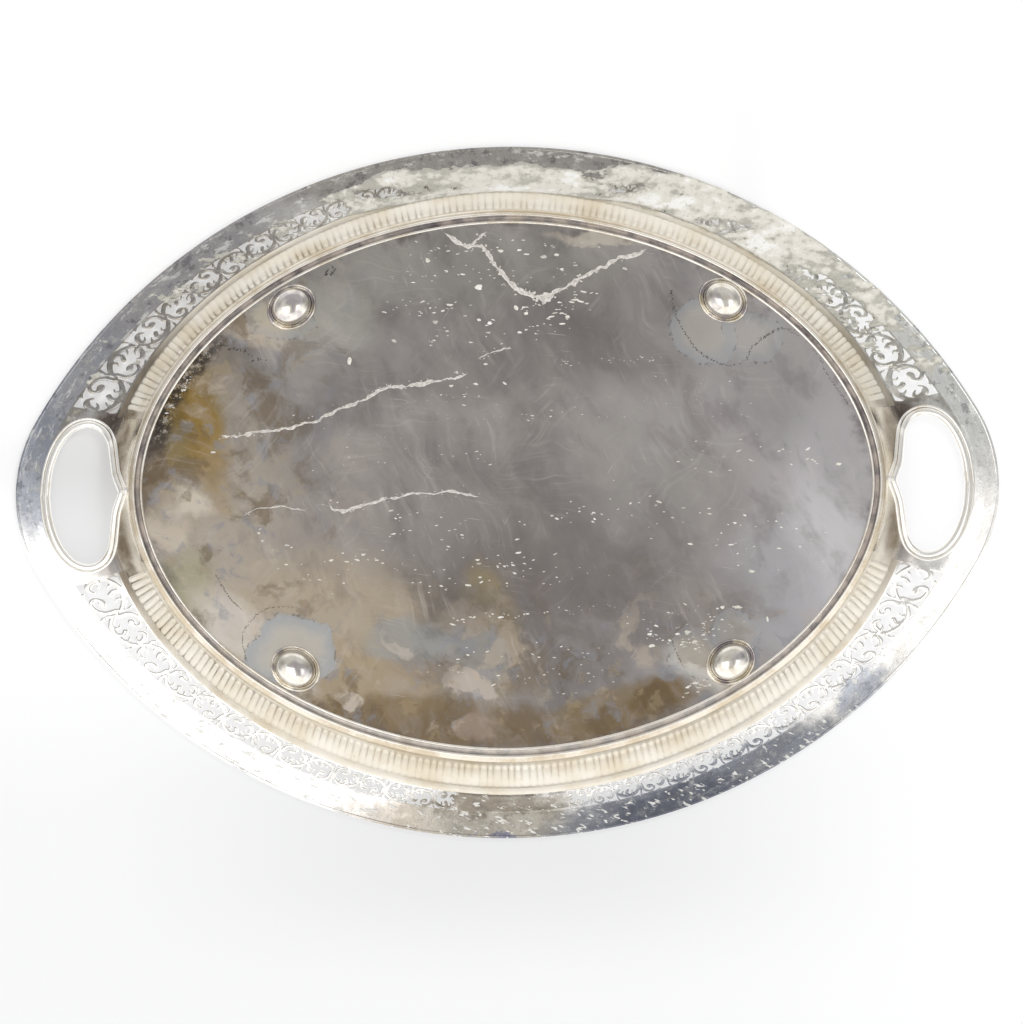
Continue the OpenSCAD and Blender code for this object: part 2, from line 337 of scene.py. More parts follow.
def spline(points, steps):
    """A smooth curve through points, with steps stretches between each two of them."""
    p = np.array([points[0], *points, points[-1]], float)
    curve = []
    for a, b, c, d in zip(p, p[1:], p[2:], p[3:]):
        for u in np.arange(steps) / steps:
            curve.append(b + 0.5 * u * (c - a + u * (2 * a - 5 * b + 4 * c - d + u * (3 * (b - c) + d - a))))
    curve.append(p[-1])
    return np.array(curve)


def add(piece, slot, material, *nodes):
    piece.data.materials.clear()
    piece.data.materials.append(material)
    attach(piece, "root")
    if nodes:
        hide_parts(*nodes)
    return piece


# ---------------------------------------------------------------- node helpers
def rgb(code):
    """A colour from its usual web code, made linear."""
    parts = [int(code[i:i + 2], 16) / 255 for i in (0, 2, 4)]
    return tuple(c / 12.92 if c <= 0.04045 else ((c + 0.055) / 1.055) ** 2.4 for c in parts) + (1,)


NO_HEIGHT = 1e5                                    # a scale so long that Z no longer counts


class Graph:
    """Short names for building a node tree."""

    def __init__(self, owner):
        owner.use_nodes = True
        self.nodes, self.links = owner.node_tree.nodes, owner.node_tree.links

    def put(self, kind, inputs, out=0, **settings):
        """Adds a node whose inputs are sockets or constants, and returns one of its outputs."""
        node = self.nodes.new(kind)
        for key, value in settings.items():
            setattr(node, key, value)
        for socket, value in inputs.items():
            if isinstance(value, bpy.types.NodeSocket):
                self.links.new(value, node.inputs[socket])
            else:
                node.inputs[socket].default_value = value
        return node.outputs[out]

    def math(self, op, a, b=0.0, clamp=False):
        return self.put("ShaderNodeMath", {0: a, 1: b}, operation=op, use_clamp=clamp)

    def mul(self, a, b, clamp=False):
        return self.math("MULTIPLY", a, b, clamp)

    def add(self, a, b):
        return self.math("ADD", a, b)

    def sub(self, a, b):
        return self.math("SUBTRACT", a, b)

    def max(self, a, b):
        return self.math("MAXIMUM", a, b)

    def abs(self, a):
        return self.math("ABSOLUTE", a)

    def ramp(self, x, lo, hi, a=0.0, b=1.0):
        """Goes smoothly from a to b while x goes from lo to hi."""
        inputs = {0: x, 1: lo, 2: hi, 3: a, 4: b}
        return self.put("ShaderNodeMapRange", inputs, interpolation_type="SMOOTHSTEP")

    def mix(self, f, a, b):
        """A colour that goes from a to b while f goes from nought to one."""
        a, b = (rgb(c) if isinstance(c, str) else c for c in (a, b))
        return self.put("ShaderNodeMix", {0: f, 6: a, 7: b}, 2, data_type="RGBA")

    def noise(self, vector, scale, detail=3.0, rough=0.55, out=0):
        inputs = {"Vector": vector, "Scale": scale, "Detail": detail, "Roughness": rough}
        return self.put("ShaderNodeTexNoise", inputs, out)

    def map(self, vector, place=(0, 0, 0), turn=0.0, scale=(1, 1, 1)):
        """Coordinates in a frame at a place, turned about Z, whose units are scale long."""
        inputs = {0: vector, 1: place, 2: (0, 0, turn), 3: scale}
        return self.put("ShaderNodeMapping", inputs, vector_type="TEXTURE")

    def length(self, vector):
        return self.put("ShaderNodeVectorMath", {0: vector}, 1, operation="LENGTH")

    def blob(self, vector, x, y, rx, ry, turn=0.0, edge=0.3):
        """One inside an ellipse, nought outside, over a soft or a hard edge."""
        local = self.map(vector, (x, y, 0), math.radians(turn), (rx, ry, NO_HEIGHT))
        return self.ramp(self.length(local), 1 + edge, 1 - edge)

    def split(self, vector):
        node = self.nodes.new("ShaderNodeSeparateXYZ")
        self.links.new(vector, node.inputs[0])
        return node.outputs

    def band(self):
        """The three band values that new_piece gave to a piece's points."""
        return self.split(self.put("ShaderNodeAttribute", {}, 1, attribute_name="band"))

    def quarter(self, vector):
        """Coordinates with the tray's four quarters folded onto the one where both are positive."""
        x, y, _ = self.split(vector)
        return self.put("ShaderNodeCombineXYZ", {0: self.abs(x), 1: self.abs(y)})

    def bent(self, vector, field, reach):
        """Coordinates moved by up to about reach, by the colour of a noise."""
        both_ways = {0: field, 1: (2 * reach, 2 * reach, 0), 2: vector}
        moved = self.put("ShaderNodeVectorMath", both_ways, operation="MULTIPLY_ADD")
        return self.put("ShaderNodeVectorMath", {0: moved, 1: (-reach, -reach, 0)}, operation="ADD")

    def scratches(self, vector, turn, spacing, length, lo, hi):
        """Thin bright lines that run at an angle, as bundles with gaps between them."""
        local = self.map(vector, turn=math.radians(turn), scale=(length, spacing, 1))
        return self.ramp(self.noise(local, 1.0, 2.0, 0.6), lo, hi)


def finish_material(m, g, color, rough, bump, bump_height, metallic=1.0):
    """Links a material's colour, roughness and bump to its shader; g is its graph."""
    sockets = g.nodes["Principled BSDF"].inputs
    g.links.new(color, sockets["Base Color"])
    if isinstance(metallic, float):
        sockets["Metallic"].default_value = metallic
    else:
        g.links.new(metallic, sockets["Metallic"])
    g.links.new(rough, sockets["Roughness"])
    normal = g.put("ShaderNodeBump", {"Strength": 1.0, "Distance": bump_height, "Height": bump})
    g.links.new(normal, sockets["Normal"])
    return m


def start_material(name):
    """A material, its graph, and its place on the piece in mm."""
    m = bpy.data.materials.new(name)
    g = Graph(m)
    place = g.put("ShaderNodeTexCoord", {}, 3)
    mm = g.put("ShaderNodeVectorMath", {0: place, 3: 1 / MM}, operation="SCALE")
    return m, g, mm


# Stains of the floor: colour, centre and half axes in mm, turn in degrees, softness of the edge, strength
FLOOR_STAINS = (
    ("aba8aa", -150, 20, 90, 150, 10, 0.6, 0.6),       # paler, purplish grey right-hand end
    ("b8b5b8", -190, -20, 34, 90, 12, 0.5, 0.8),
    ("d2d0d3", -196, -50, 20, 54, -16, 0.5, 0.85),
    ("b4b3b8", -172, -78, 26, 50, -34, 0.4, 0.6),
    ("7d7876", -62, 92, 64, 34, 8, 0.5, 0.8),          # dark grey patches of the middle
    ("827d7b", 44, 76, 60, 26, 0, 0.5, 0.6),
    ("6e6864", 34, -60, 46, 36, -10, 0.6, 0.8),
    ("7d7671", 48, -12, 62, 42, 0, 0.6, 0.5),
    ("86817d", -114, -10, 24, 34, 0, 0.5, 0.5),
    ("807a75", 80, -8, 60, 24, 10, 0.6, 0.5),
    ("7c7674", -36, -44, 52, 62, 10, 0.5, 0.65),
    ("7f7977", -76, -74, 66, 34, 0, 0.5, 0.7),
    ("96948f", 24, 132, 96, 24, 0, 0.4, 0.7),
    ("a19e9a", -84, 10, 50, 40, 20, 0.5, 0.6),
    ("a19c9a", 66, -6, 66, 44, 0, 0.5, 0.5),
    ("a59d96", 150, -50, 52, 46, 30, 0.5, 0.6),
    ("b7a993", 112, -80, 76, 36, 12, 0.45, 0.75),      # brown front end
    ("ab9a80", 104, -116, 60, 24, 12, 0.35, 0.8),
    ("857255", 62, -142, 64, 14, 4, 0.3, 0.85),
    ("7b6b56", -10, -146, 74, 13, 0, 0.3, 0.9),
    ("86765d", -62, -138, 44, 14, -12, 0.3, 0.85),
    ("786448", -86, -134, 18, 8, -14, 0.4, 0.85),
    ("8d7e62", 10, -94, 15, 38, 0, 0.5, 0.6),
    ("978a6b", 18, -62, 11, 14, 0, 0.4, 0.6),
    ("7b6a5b", 150, -92, 14, 6, 30, 0.3, 0.8),
    ("b5aa9a", 172, 0, 36, 60, 10, 0.5, 0.6),          # golden left-hand end
    ("87754a", 194, 42, 24, 36, 14, 0.25, 0.9),
    ("735f33", 188, 56, 14, 28, 4, 0.3, 0.9),
    ("9a7f48", 180, 30, 10, 40, -8, 0.5, 0.7),
    ("5d534c", 209, 48, 7, 26, 14, 0.3, 0.9),
    ("5c524c", 212, 12, 9, 26, 4, 0.4, 0.8),
    ("d0c7b8", 196, -10, 18, 8, 14, 0.25, 0.9),
    ("c8beae", 206, -26, 14, 9, 20, 0.3, 0.9),
    ("aca88c", 197, -62, 16, 26, 24, 0.5, 0.7),
    ("c6baaa", 148, 92, 26, 9, 22, 0.3, 0.85),         # beige round the back left foot
    ("8c8172", 172, 74, 18, 14, 30, 0.5, 0.6),
    ("cbc3b6", -54, 151, 28, 3.5, 8, 0.3, 0.7),       # a pale smear along the back of the bead
    ("afaea6", 108, 98, 30, 24, 0, 0.45, 0.6),
    ("9ca0a2", 60, -92, 26, 14, -10, 0.2, 0.6),        # pale pools at the front
    ("857660", -10, -112, 18, 15, 0, 0.4, 0.6),
    ("9b9c9c", 30, -100, 32, 15, 22, 0.12, 0.6),
    ("c4b9ae", 28, -122, 20, 8, 12, 0.10, 0.85),
    ("c0b8ae", 66, -97, 9, 4, 30, 0.12, 0.8),
    ("cdc3b5", 98, -129, 9, 5, 16, 0.15, 0.85),
    ("ab9a8e", 22, -145, 10, 9, 0, 0.3, 0.6),
    ("e0dbd1", -116, -110, 20, 13, 24, 0.5, 0.9),
    ("d8d1c8", 164, -84, 28, 15, 36, 0.5, 0.85),
    ("d2ccc2", 140, -116, 22, 12, 30, 0.4, 0.7),
    ("a39f9c", 88, 78, 44, 20, 0, 0.6, 0.45),          # a paler zone across the back
    ("aaa7a6", -150, 70, 46, 22, 0, 0.6, 0.5),
    ("a09c9a", -84, 92, 22, 26, 0, 0.6, 0.4),
    ("cbbd9f", 140, 104, 18, 8, 22, 0.4, 0.6),
    ("6c6661", 30, -76, 20, 14, 0, 0.5, 0.5),
    ("8a7f74", 48, -110, 24, 10, 0, 0.5, 0.4),
    ("a09a96", -116, -74, 22, 16, 0, 0.5, 0.5),
    ("7d6c56", 209, 0, 12, 18, 0, 0.4, 0.6),
)
# Pools dried round the feet: centre, half axes, turn, strength
FOOT_POOLS = (
    (133, -98, 27, 25, 10, 0.85), (-118, 92, 22, 24, 0, 0.55), (-150, 88, 22, 15, 24, 0.35),
    (-112, -104, 17, 17, 10, 0.35), (-139, -90, 16, 14, 0, 0.4), (133, 104, 24, 17, 20, 0.35),
)
# Faint wipe marks: turn in degrees, length and width in mm, strength
WIPES = ((64, 50, 5, 0.3), (-52, 40, 4, 0.2), (4, 60, 2.5, 0.2))
# Scratches: turn in degrees, spacing and length in mm, how rare they are
SCRATCHES = ((68, 0.7, 26, 0.68), (-58, 0.7, 30, 0.69), (8, 0.8, 30, 0.68))


def tarnished_plate():
    """The floor: grey tarnish with golden and brown stains, pale pools, wipe marks and scratches."""
    m, g, mm = start_material("tarnished_plate")
    bent = g.bent(mm, g.noise(mm, 1 / 46, 2.0, 0.5, out=1), 14)
    ragged = g.bent(bent, g.noise(mm, 1 / 9, 5.0, 0.66, out=1), 6)
    clouds = g.noise(mm, 1 / 60, 5.0, 0.6)
    color = g.mix(g.ramp(clouds, 0.36, 0.64), "827e7c", "a29d99")
    for code, x, y, rx, ry, turn, edge, strength in FLOOR_STAINS:
        mask = g.blob(ragged, x, y, rx, ry, turn, edge)
        color = g.mix(g.mul(mask, strength), color, code)
    # broad strokes of a cloth, paler and darker, that lean across the floor
    x, y, _ = g.split(bent)
    stroked = g.map(bent, turn=math.radians(62), scale=(40, 22, 1))
    patch = g.noise(stroked, 1.0, 5.0, 0.62)
    color = g.mix(g.ramp(patch, 0.5, 0.68, 0.0, 0.24), color, "b4afac")
    color = g.mix(g.ramp(patch, 0.5, 0.32, 0.0, 0.34), color, "6a6564")
    # cream, olive and blue-grey mottling towards the left and the front
    warm = g.max(g.ramp(x, 60, 160), g.ramp(y, -40, -120))
    patch = g.noise(ragged, 1 / 30, 5.0, 0.62)
    color = g.mix(g.mul(warm, g.ramp(patch, 0.54, 0.64, 0.0, 0.55)), color, "c2b5a5")
    color = g.mix(g.mul(warm, g.ramp(patch, 0.46, 0.36, 0.0, 0.6)), color, "6d5d47")
    patch = g.noise(ragged, 1 / 17, 5.0, 0.62)
    color = g.mix(g.mul(warm, g.ramp(patch, 0.56, 0.64, 0.0, 0.5)), color, "8c8f98")
    color = g.mix(g.mul(warm, g.ramp(patch, 0.42, 0.34, 0.0, 0.35)), color, "b09f80")
    # pools round the feet, each with a dark and broken tide line
    for cx, cy, rx, ry, turn, strength in FOOT_POOLS:
        far = g.length(g.map(ragged, (cx, cy, 0), math.radians(turn), (rx, ry, NO_HEIGHT)))
        pool = g.ramp(far, 1.05, 0.9)
        shade = g.mix(g.ramp(far, 0.45, 0.95), "c3bfb7", "aaaeb3")
        color = g.mix(g.mul(pool, strength), color, shade)
        line = g.mul(g.ramp(far, 0.93, 0.98), g.ramp(far, 1.03, 0.98))
        broken = g.mul(line, g.ramp(g.noise(mm, 1 / 2.6, 2.0), 0.5, 0.62))
        color = g.mix(g.mul(broken, 0.5), color, "45403c")
    # faint wipe marks here and there, and scratches that come in patches
    for k, (turn, length, width, strength) in enumerate(WIPES):
        swept = g.map(bent, place=(40 * k, 0, 0), turn=math.radians(turn), scale=(length, width, 1))
        wipe = g.ramp(g.noise(swept, 1.0, 4.0, 0.6), 0.5, 0.74, 0.0, strength)
        here = g.ramp(g.noise(g.map(mm, place=(90 * k, 50, 0)), 1 / 45, 2.0), 0.5, 0.66)
        color = g.mix(g.mul(wipe, here), color, "d2ccc7")
    patchy = g.ramp(g.noise(mm, 1 / 34, 2.0), 0.46, 0.62)
    scratch = 0.0
    for turn, spacing, length, lo in SCRATCHES:
        scratch = g.max(g.scratches(mm, turn, spacing, length, lo, lo + 0.06), scratch)
    scratch = g.mul(scratch, patchy)
    color = g.mix(g.mul(scratch, 0.45), color, "dad5d0")
    # a dark, uneven seam of tarnish against the bead
    reach = g.length(g.map(ragged, scale=(OVAL_A / MM, OVAL_B / MM, NO_HEIGHT)))
    seam = g.mul(g.ramp(reach, 0.93, 0.98), g.ramp(g.noise(mm, 1 / 14, 3.0), 0.46, 0.66))
    color = g.mix(g.mul(seam, 0.6), color, "4f4644")
    # and a black crust against it, with grey flakes, on the left
    crust = g.mul(g.ramp(reach, 0.90, 0.93), g.blob(mm, 196, 60, 38, 22, -58, 0.4))
    flake = g.noise(mm, 1 / 4, 5.0, 0.7)
    color = g.mix(g.mul(crust, g.ramp(flake, 0.56, 0.48, 0.0, 0.85)), color, "33302e")
    color = g.mix(g.mul(crust, g.ramp(flake, 0.56, 0.62, 0.0, 0.8)), color, "a5a19c")
    grain = g.noise(mm, 1 / 1.1, 2.0)
    rough = g.add(g.ramp(clouds, 0.3, 0.7, 0.36, 0.5), g.ramp(grain, 0.3, 0.7, -0.03, 0.03))
    bump = g.add(g.mul(grain, 0.25), g.mul(scratch, -0.4))
    bump = g.add(bump, g.mul(g.noise(mm, 1 / 30, 2.0), 5.0))
    return finish_material(m, g, color, rough, bump, 0.00008, 0.9)


def bright_wire():
    """The wires round the hand holes: worn bright, darker in the hollows with tarnish and painted shade."""
    m, g, mm = start_material("bright_wire")
    patch = g.noise(mm, 1 / 22, 5.0, 0.65)
    color = g.mix(g.ramp(patch, 0.5, 0.75), "fcfaf6", "e0d8ca")
    # darker where the surface is hollow: tarnish there, and painted shade in the hollows
    hollow = g.put("ShaderNodeNewGeometry", {}, "Pointiness")
    color = g.mix(g.ramp(hollow, 0.46, 0.40, 0.0, 0.6), color, "82776b")
    rough = g.ramp(patch, 0.35, 0.75, 0.16, 0.28)
    return finish_material(m, g, color, rough, g.noise(mm, 1 / 9, 3.0), 0.00003, 0.9)


def moulding_plate():
    """The bead and the moulding round the floor: bright crests with dark tarnish and painted shade in the
    hollow between.
    """
    m, g, mm = start_material("moulding_plate")
    _, out, _ = g.band()
    _, y, _ = g.split(mm)
    patch = g.noise(mm, 1 / 26, 5.0, 0.65)
    color = g.mix(g.ramp(patch, 0.45, 0.7), "f6f2ea", "d8cdbb")
    # the hollow between bead and moulding: dark tarnish, with painted shade where the groove lies in shadow
    hollow = g.mix(g.ramp(g.noise(mm, 1 / 10, 4.0), 0.4, 0.6), "a0928a", "564c50")
    inside = g.mul(g.ramp(out, -5.1, -4.4), g.ramp(out, -1.0, -1.6))
    tarnish_and_shade = g.mul(g.ramp(patch, 0.3, 0.7, 0.95, 0.65), g.ramp(y, -150, -40, 0.7, 1.0))
    color = g.mix(g.mul(inside, tarnish_and_shade), color, hollow)
    outside = g.ramp(out, -0.3, 0.4)
    color = g.mix(outside, color, g.mix(g.ramp(patch, 0.4, 0.62), "f1e9db", "d6c8b0"))
    rough = g.add(g.ramp(patch, 0.35, 0.75, 0.16, 0.3), g.mul(inside, 0.15))
    bump = g.noise(mm, 1 / 2.5, 3.0)
    return finish_material(m, g, color, rough, bump, 0.00003, 0.9)


def cream_color(g, mm, station, height):
    """Colour of the pale, yellowed wall, with brown dirt and painted shade in the gaps, and a painted dark
    reflection along the fillets.
    """
    clouds = g.noise(mm, 1 / 30, 5.0, 0.6)
    color = g.mix(g.ramp(clouds, 0.38, 0.7), "f4efe4", "e5dac4")
    x, y, _ = g.split(mm)
    far = g.abs(x)
    # the plain fillet above the reeds is browner towards the handles: a painted dark reflection
    fillet = g.ramp(station, 1.95, 2.1)
    brown = g.mul(fillet, g.ramp(far, 185, 222, 0.04, 0.68))
    brown = g.mul(brown, g.ramp(y, -85, -50, 0.2, 1.0))
    brown = g.mul(brown, g.ramp(x, -60, 60, 0.75, 1.2), clamp=True)
    # the narrow strip between a hand hole and the bead is brown too
    strip = g.blob(g.quarter(mm), 235, 27, 6, 20, 8, 0.5)
    brown = g.max(brown, g.mul(strip, g.ramp(clouds, 0.3, 0.6, 0.95, 0.5)))
    color = g.mix(brown, color, g.mix(g.ramp(clouds, 0.4, 0.6), "8b7c66", "5e5248"))
    # dirt and painted shade between the reeds lie at their lower ends, but at their upper ends near the
    # handles
    gap = g.mul(g.ramp(height, 0.72, 0.15), g.ramp(station, 0.96, 1.06))
    lower = g.mul(g.ramp(station, 1.9, 1.3, 0.3, 1.0), g.ramp(far, 215, 165))
    upper = g.mul(g.ramp(station, 1.2, 1.7, 0.4, 1.2), g.ramp(far, 165, 215))
    upper = g.mul(upper, g.ramp(station, 2.02, 1.93, 0.2, 1.0))
    # it is faint at the upper ends of the reeds at the back left
    faint = g.mul(g.blob(mm, 160, 100, 62, 34, -38, 0.4), g.ramp(station, 1.2, 1.55, 0.0, 0.85))
    gap = g.mul(gap, g.sub(g.add(lower, upper), faint), clamp=True)
    near_handle = g.mul(g.ramp(far, 90, 215, 0.25, 0.7), g.ramp(x, -60, 60, 0.6, 1.0))
    patchy = g.ramp(g.noise(mm, 1 / 13, 3.0), 0.36, 0.64, 0.45, 1.25)
    gap = g.mul(gap, g.mul(near_handle, patchy))
    color = g.mix(gap, color, "6f5f4b")
    foot = g.mul(g.ramp(station, 0.7, 0.1), g.ramp(g.noise(mm, 1 / 18, 4.0), 0.4, 0.65, 0.1, 0.7))
    color = g.mix(foot, color, "a48d68")
    speck = g.ramp(g.noise(mm, 1 / 1.6, 2.0), 0.70, 0.76)
    return g.mix(g.mul(speck, 0.4), color, "6f6048")


def cream_plate():
    m, g, mm = start_material("cream_plate")
    _, station, height = g.band()
    color = cream_color(g, mm, station, height)
    rough = g.ramp(g.noise(mm, 1 / 20, 3.0), 0.3, 0.7, 0.3, 0.42)
    return finish_material(m, g, color, rough, g.noise(mm, 1 / 1.5, 3.0), 0.00004, 0.85)


# Tarnish of the rim: colour, centre and half axes in mm, turn, softness, strength
RIM_STAINS = (
    ("aba7a2", 40, 204, 230, 30, 2, 0.3, 0.9),         # plain grey back edge
    ("a19ea2", 200, 130, 80, 50, -40, 0.4, 0.85),      # lilac grey upper left
    ("a3a5ad", 262, 66, 40, 50, 0, 0.4, 0.85),
    ("9ba1ae", 290, 20, 22, 44, 0, 0.4, 0.85),         # blue grey left tip
    ("f0f2ef", -225, 100, 90, 50, 36, 0.4, 0.8),       # greenish grey right end
    ("eceeec", -276, 50, 30, 56, 20, 0.4, 0.8),
    ("aba599", 24, -205, 62, 22, 0, 0.25, 0.9),        # olive grey middle of the front
    ("b3a79b", 84, -200, 34, 12, 8, 0.4, 0.5),
    ("837a6d", 10, -190, 46, 8, 0, 0.3, 0.8),          # the solid panel of the front
    ("868a94", -120, -184, 106, 24, -19, 0.22, 0.95),  # slate front right
    ("666a78", -100, -192, 46, 10, -18, 0.4, 0.75),
    ("a9aeb8", -212, -126, 18, 11, -44, 0.3, 0.9),
    ("74769a", 10, -213, 26, 2.5, -2, 0.5, 0.7),
)


def rim_plate():
    """The flat rim: mottled grey and slate tarnish over bright plate, with dust and dried spots."""
    m, g, mm = start_material("rim_plate")
    angle, station, depth = g.band()
    ragged = g.bent(mm, g.noise(mm, 1 / 9, 5.0, 0.7, out=1), 11)
    x, y, _ = g.split(mm)
    along = g.put("ShaderNodeCombineXYZ", {0: g.mul(angle, 20.0), 1: g.mul(station, 3.0)})
    drag = g.noise(along, 1.0, 5.0, 0.62)
    color = g.mix(g.ramp(g.noise(mm, 1 / 18, 5.0, 0.65), 0.35, 0.65), "fbfaf8", "eceae6")
    # towards the front the tarnish stays on the border and leaves the pierced band bright
    band_only = g.max(g.ramp(station, 3.3, 3.7, 0.3, 1.0), g.ramp(y, -60, 20))
    band_only = g.max(band_only, g.ramp(g.abs(x), 60, 35))
    tarnish = 0.0
    for code, cx, cy, rx, ry, turn, edge, strength in RIM_STAINS:
        mask = g.blob(ragged, cx, cy, rx, ry, turn, edge)
        mask = g.mul(mask, g.ramp(drag, 0.3, 0.5, strength * 0.8, strength))
        mask = g.mul(mask, band_only)
        tarnish = g.max(mask, tarnish)
        color = g.mix(mask, color, code)
    # darker and paler blotches within the tarnish
    blotch = g.noise(mm, 1 / 7, 5.0, 0.7)
    uneven = g.mul(tarnish, g.ramp(y, -150, -60, 0.3, 0.6))
    color = g.mix(g.mul(g.ramp(blotch, 0.54, 0.64), uneven), color, "5b5a61")
    color = g.mix(g.mul(g.ramp(blotch, 0.46, 0.36), uneven), color, "d3d2cb")
    worn = g.noise(along, 0.8, 6.0, 0.72)
    frost = g.mul(g.ramp(worn, 0.54, 0.64), g.ramp(y, -60, 60, 0.2, 0.75))
    color = g.mix(g.mul(frost, tarnish), color, "d5d5d0")
    # the pierced band is duller than the border at the back, and dusty
    pierced = g.mul(g.ramp(station, 4.02, 3.96), g.ramp(station, 2.8, 3.0))
    pierced = g.mul(pierced, g.ramp(y, 0, 50))
    color = g.mix(g.mul(pierced, g.ramp(drag, 0.35, 0.6, 0.75, 0.35)), color, "968f81")
    # light spots where the front edge was splashed
    spot = g.noise(g.map(mm, scale=(7, 2.6, 1), turn=math.radians(24)), 1.0, 2.0, 0.55)
    cake = g.mul(g.ramp(spot, 0.61, 0.65), g.mul(g.ramp(y, -70, -110), 0.85))
    color = g.mix(cake, color, "e3e3df")
    # darker where the hand holes meet the reeds
    corner = g.mul(g.blob(g.quarter(mm), 240, 43, 12, 9, 0, 0.5), g.ramp(y, -60, -20, 0.55, 0.9))
    color = g.mix(corner, color, "62564f")
    # below the reeds' upper ends the handle panels are as cream as the wall
    cream = g.ramp(station, 2.9, 1.7)
    color = g.mix(cream, color, cream_color(g, mm, station, depth))
    rough = g.add(g.ramp(drag, 0.3, 0.7, 0.16, 0.3), g.mul(g.max(cake, frost), 0.3))
    metallic = g.sub(1.0, g.mul(g.max(cake, frost), 0.7))
    bump = g.add(g.mul(cake, 1.5), g.mul(g.noise(mm, 1 / 14, 3.0), 1.5))
    bump = g.add(bump, g.mul(g.noise(mm, 1 / 1.2, 3.0), g.add(frost, 0.15)))
    return finish_material(m, g, color, rough, bump, 0.00010, metallic)


def foot_plate():
    """The feet: bright and smooth, with lilac tarnish in patches, and a little dirt and painted shade in the
    hollows.
    """
    m, g, mm = start_material("foot_plate")
    patch = g.noise(mm, 1 / 8, 4.0, 0.6)
    color = g.mix(g.ramp(patch, 0.4, 0.7), "f6f2ea", "e0d8c8")
    color = g.mix(g.ramp(g.noise(mm, 1 / 11, 2.0), 0.46, 0.62, 0.0, 0.6), color, "aba5b0")
    # darker where the surface is hollow, in the grooves of the collar: dirt, and painted shade
    hollow = g.put("ShaderNodeNewGeometry", {}, "Pointiness")
    color = g.mix(g.ramp(hollow, 0.47, 0.40, 0.0, 0.45), color, "857b6c")
    rough = g.ramp(patch, 0.35, 0.75, 0.12, 0.24)
    return finish_material(m, g, color, rough, g.noise(mm, 1 / 4, 2.0), 0.00002)


def dried_polish():
    """Caked polish: its third band value says how thick it is, and so how white; on the crust's knobs the
    white is partly a painted highlight.
    """
    m, g, mm = start_material("dried_polish")
    _, _, thick = g.band()
    uneven = g.add(thick, g.ramp(g.noise(mm, 1 / 5, 5.0, 0.7), 0.3, 0.7, -0.16, 0.16))
    color = g.mix(g.ramp(uneven, 0.02, 0.4), "bdbbb2", "e6e3da")
    color = g.mix(g.ramp(uneven, 0.45, 0.9), color, "fbfaf7")
    # dark flecks, painted as shade in crevices of the polish
    color = g.mix(g.ramp(g.noise(mm, 1 / 3, 4.0, 0.7), 0.56, 0.68, 0.0, 0.4), color, "8f8d86")
    rough = g.ramp(g.noise(mm, 1 / 3, 3.0), 0.3, 0.7, 0.6, 0.9)
    return finish_material(m, g, color, rough, g.noise(mm, 1 / 2.5, 5.0, 0.65), 0.0012, 0.0)


def thin_polish():
    """Runs and drops dried to a greyish film, whiter along their edges."""
    m, g, mm = start_material("thin_polish")
    across, _, _ = g.band()
    color = g.mix(g.ramp(g.noise(mm, 1 / 2.2, 4.0, 0.7), 0.36, 0.64), "dcd7d1", "b5afaa")
    color = g.mix(g.ramp(g.abs(across), 0.4, 0.9, 0.0, 0.6), color, "ebe8e4")
    rough = g.ramp(g.noise(mm, 1 / 3, 3.0), 0.3, 0.7, 0.55, 0.85)
    return finish_material(m, g, color, rough, g.noise(mm, 1 / 1.2, 4.0), 0.0002, 0.0)


def dark_tide():
    """What is left where a pool of tarnish dried: nearly black, and matt."""
    m, g, mm = start_material("dark_tide")
    color = g.mix(g.ramp(g.noise(mm, 1 / 2.5, 4.0, 0.7), 0.4, 0.62), "3a3633", "6b6663")
    rough = g.ramp(g.noise(mm, 1 / 3, 3.0), 0.3, 0.7, 0.5, 0.8)
    return finish_material(m, g, color, rough, g.noise(mm, 1 / 1.2, 4.0), 0.0001, 0.2)


tarnished = tarnished_plate()
bright = bright_wire()
moulding_metal = moulding_plate()
cream = cream_plate()
rim_metal = rim_plate()
foot_metal = foot_plate()
polish = dried_polish()
film = thin_polish()
tide = dark_tide()


# ---------------------------------------------------------------- floor and mouldings
FLOOR_DENT = 0.00012


def make_floor(rings=90, steps=300):
    """The floor plate, with the faint unevenness of old hand-worked sheet."""
    a = turns(steps)[:, None]
    f = np.linspace(0, 1, rings + 1)[None, 1:]
    x, y = oval_r(a) * f * np.cos(a), oval_r(a) * f * np.sin(a)
    calm = np.clip((1 - f) * 12, 0, 1)
    dent = FLOOR_DENT * calm * ripple(x, y, 0.07, 3)
    under = np.stack([x, y, FLOOR_Z + dent], -1)
    over = np.stack([x, y, FLOOR_TOP + dent], -1)
    n = steps * rings
    faces = grid_faces(steps, rings, True) + grid_faces(steps, rings, True, start=n, flip=True)
    for i in range(steps):
        p, q = i * rings, (i + 1) % steps * rings
        c, d = q + rings - 1, p + rings - 1
        faces += [(2 * n, p, q), (2 * n + 1, n + q, n + p), (c, d, n + d, n + c)]
    middle = FLOOR_DENT * ripple(0, 0, 0.07, 3)
    centres = (0, 0, FLOOR_Z + middle), (0, 0, FLOOR_TOP + middle)
    return new_piece("floor_plate", [*under.reshape(-1, 3), *over.reshape(-1, 3), *centres], faces)


add(make_floor(), "tarnished_plate", tarnished, "base_plate")

bead = (
    [(-0.0063, 0.0001)] + arc(-0.0053, 0.0, 0.001, 180, 330, 12)
    + [(-0.0042, -0.0003), (-0.0036, -0.0002), (-0.0028, -0.0002), (-0.0022, -0.0003), (-0.0022, 0.0001)]
)
add(ring_piece("floor_bead", bead), "bright_moulding", moulding_metal, "base_bead")

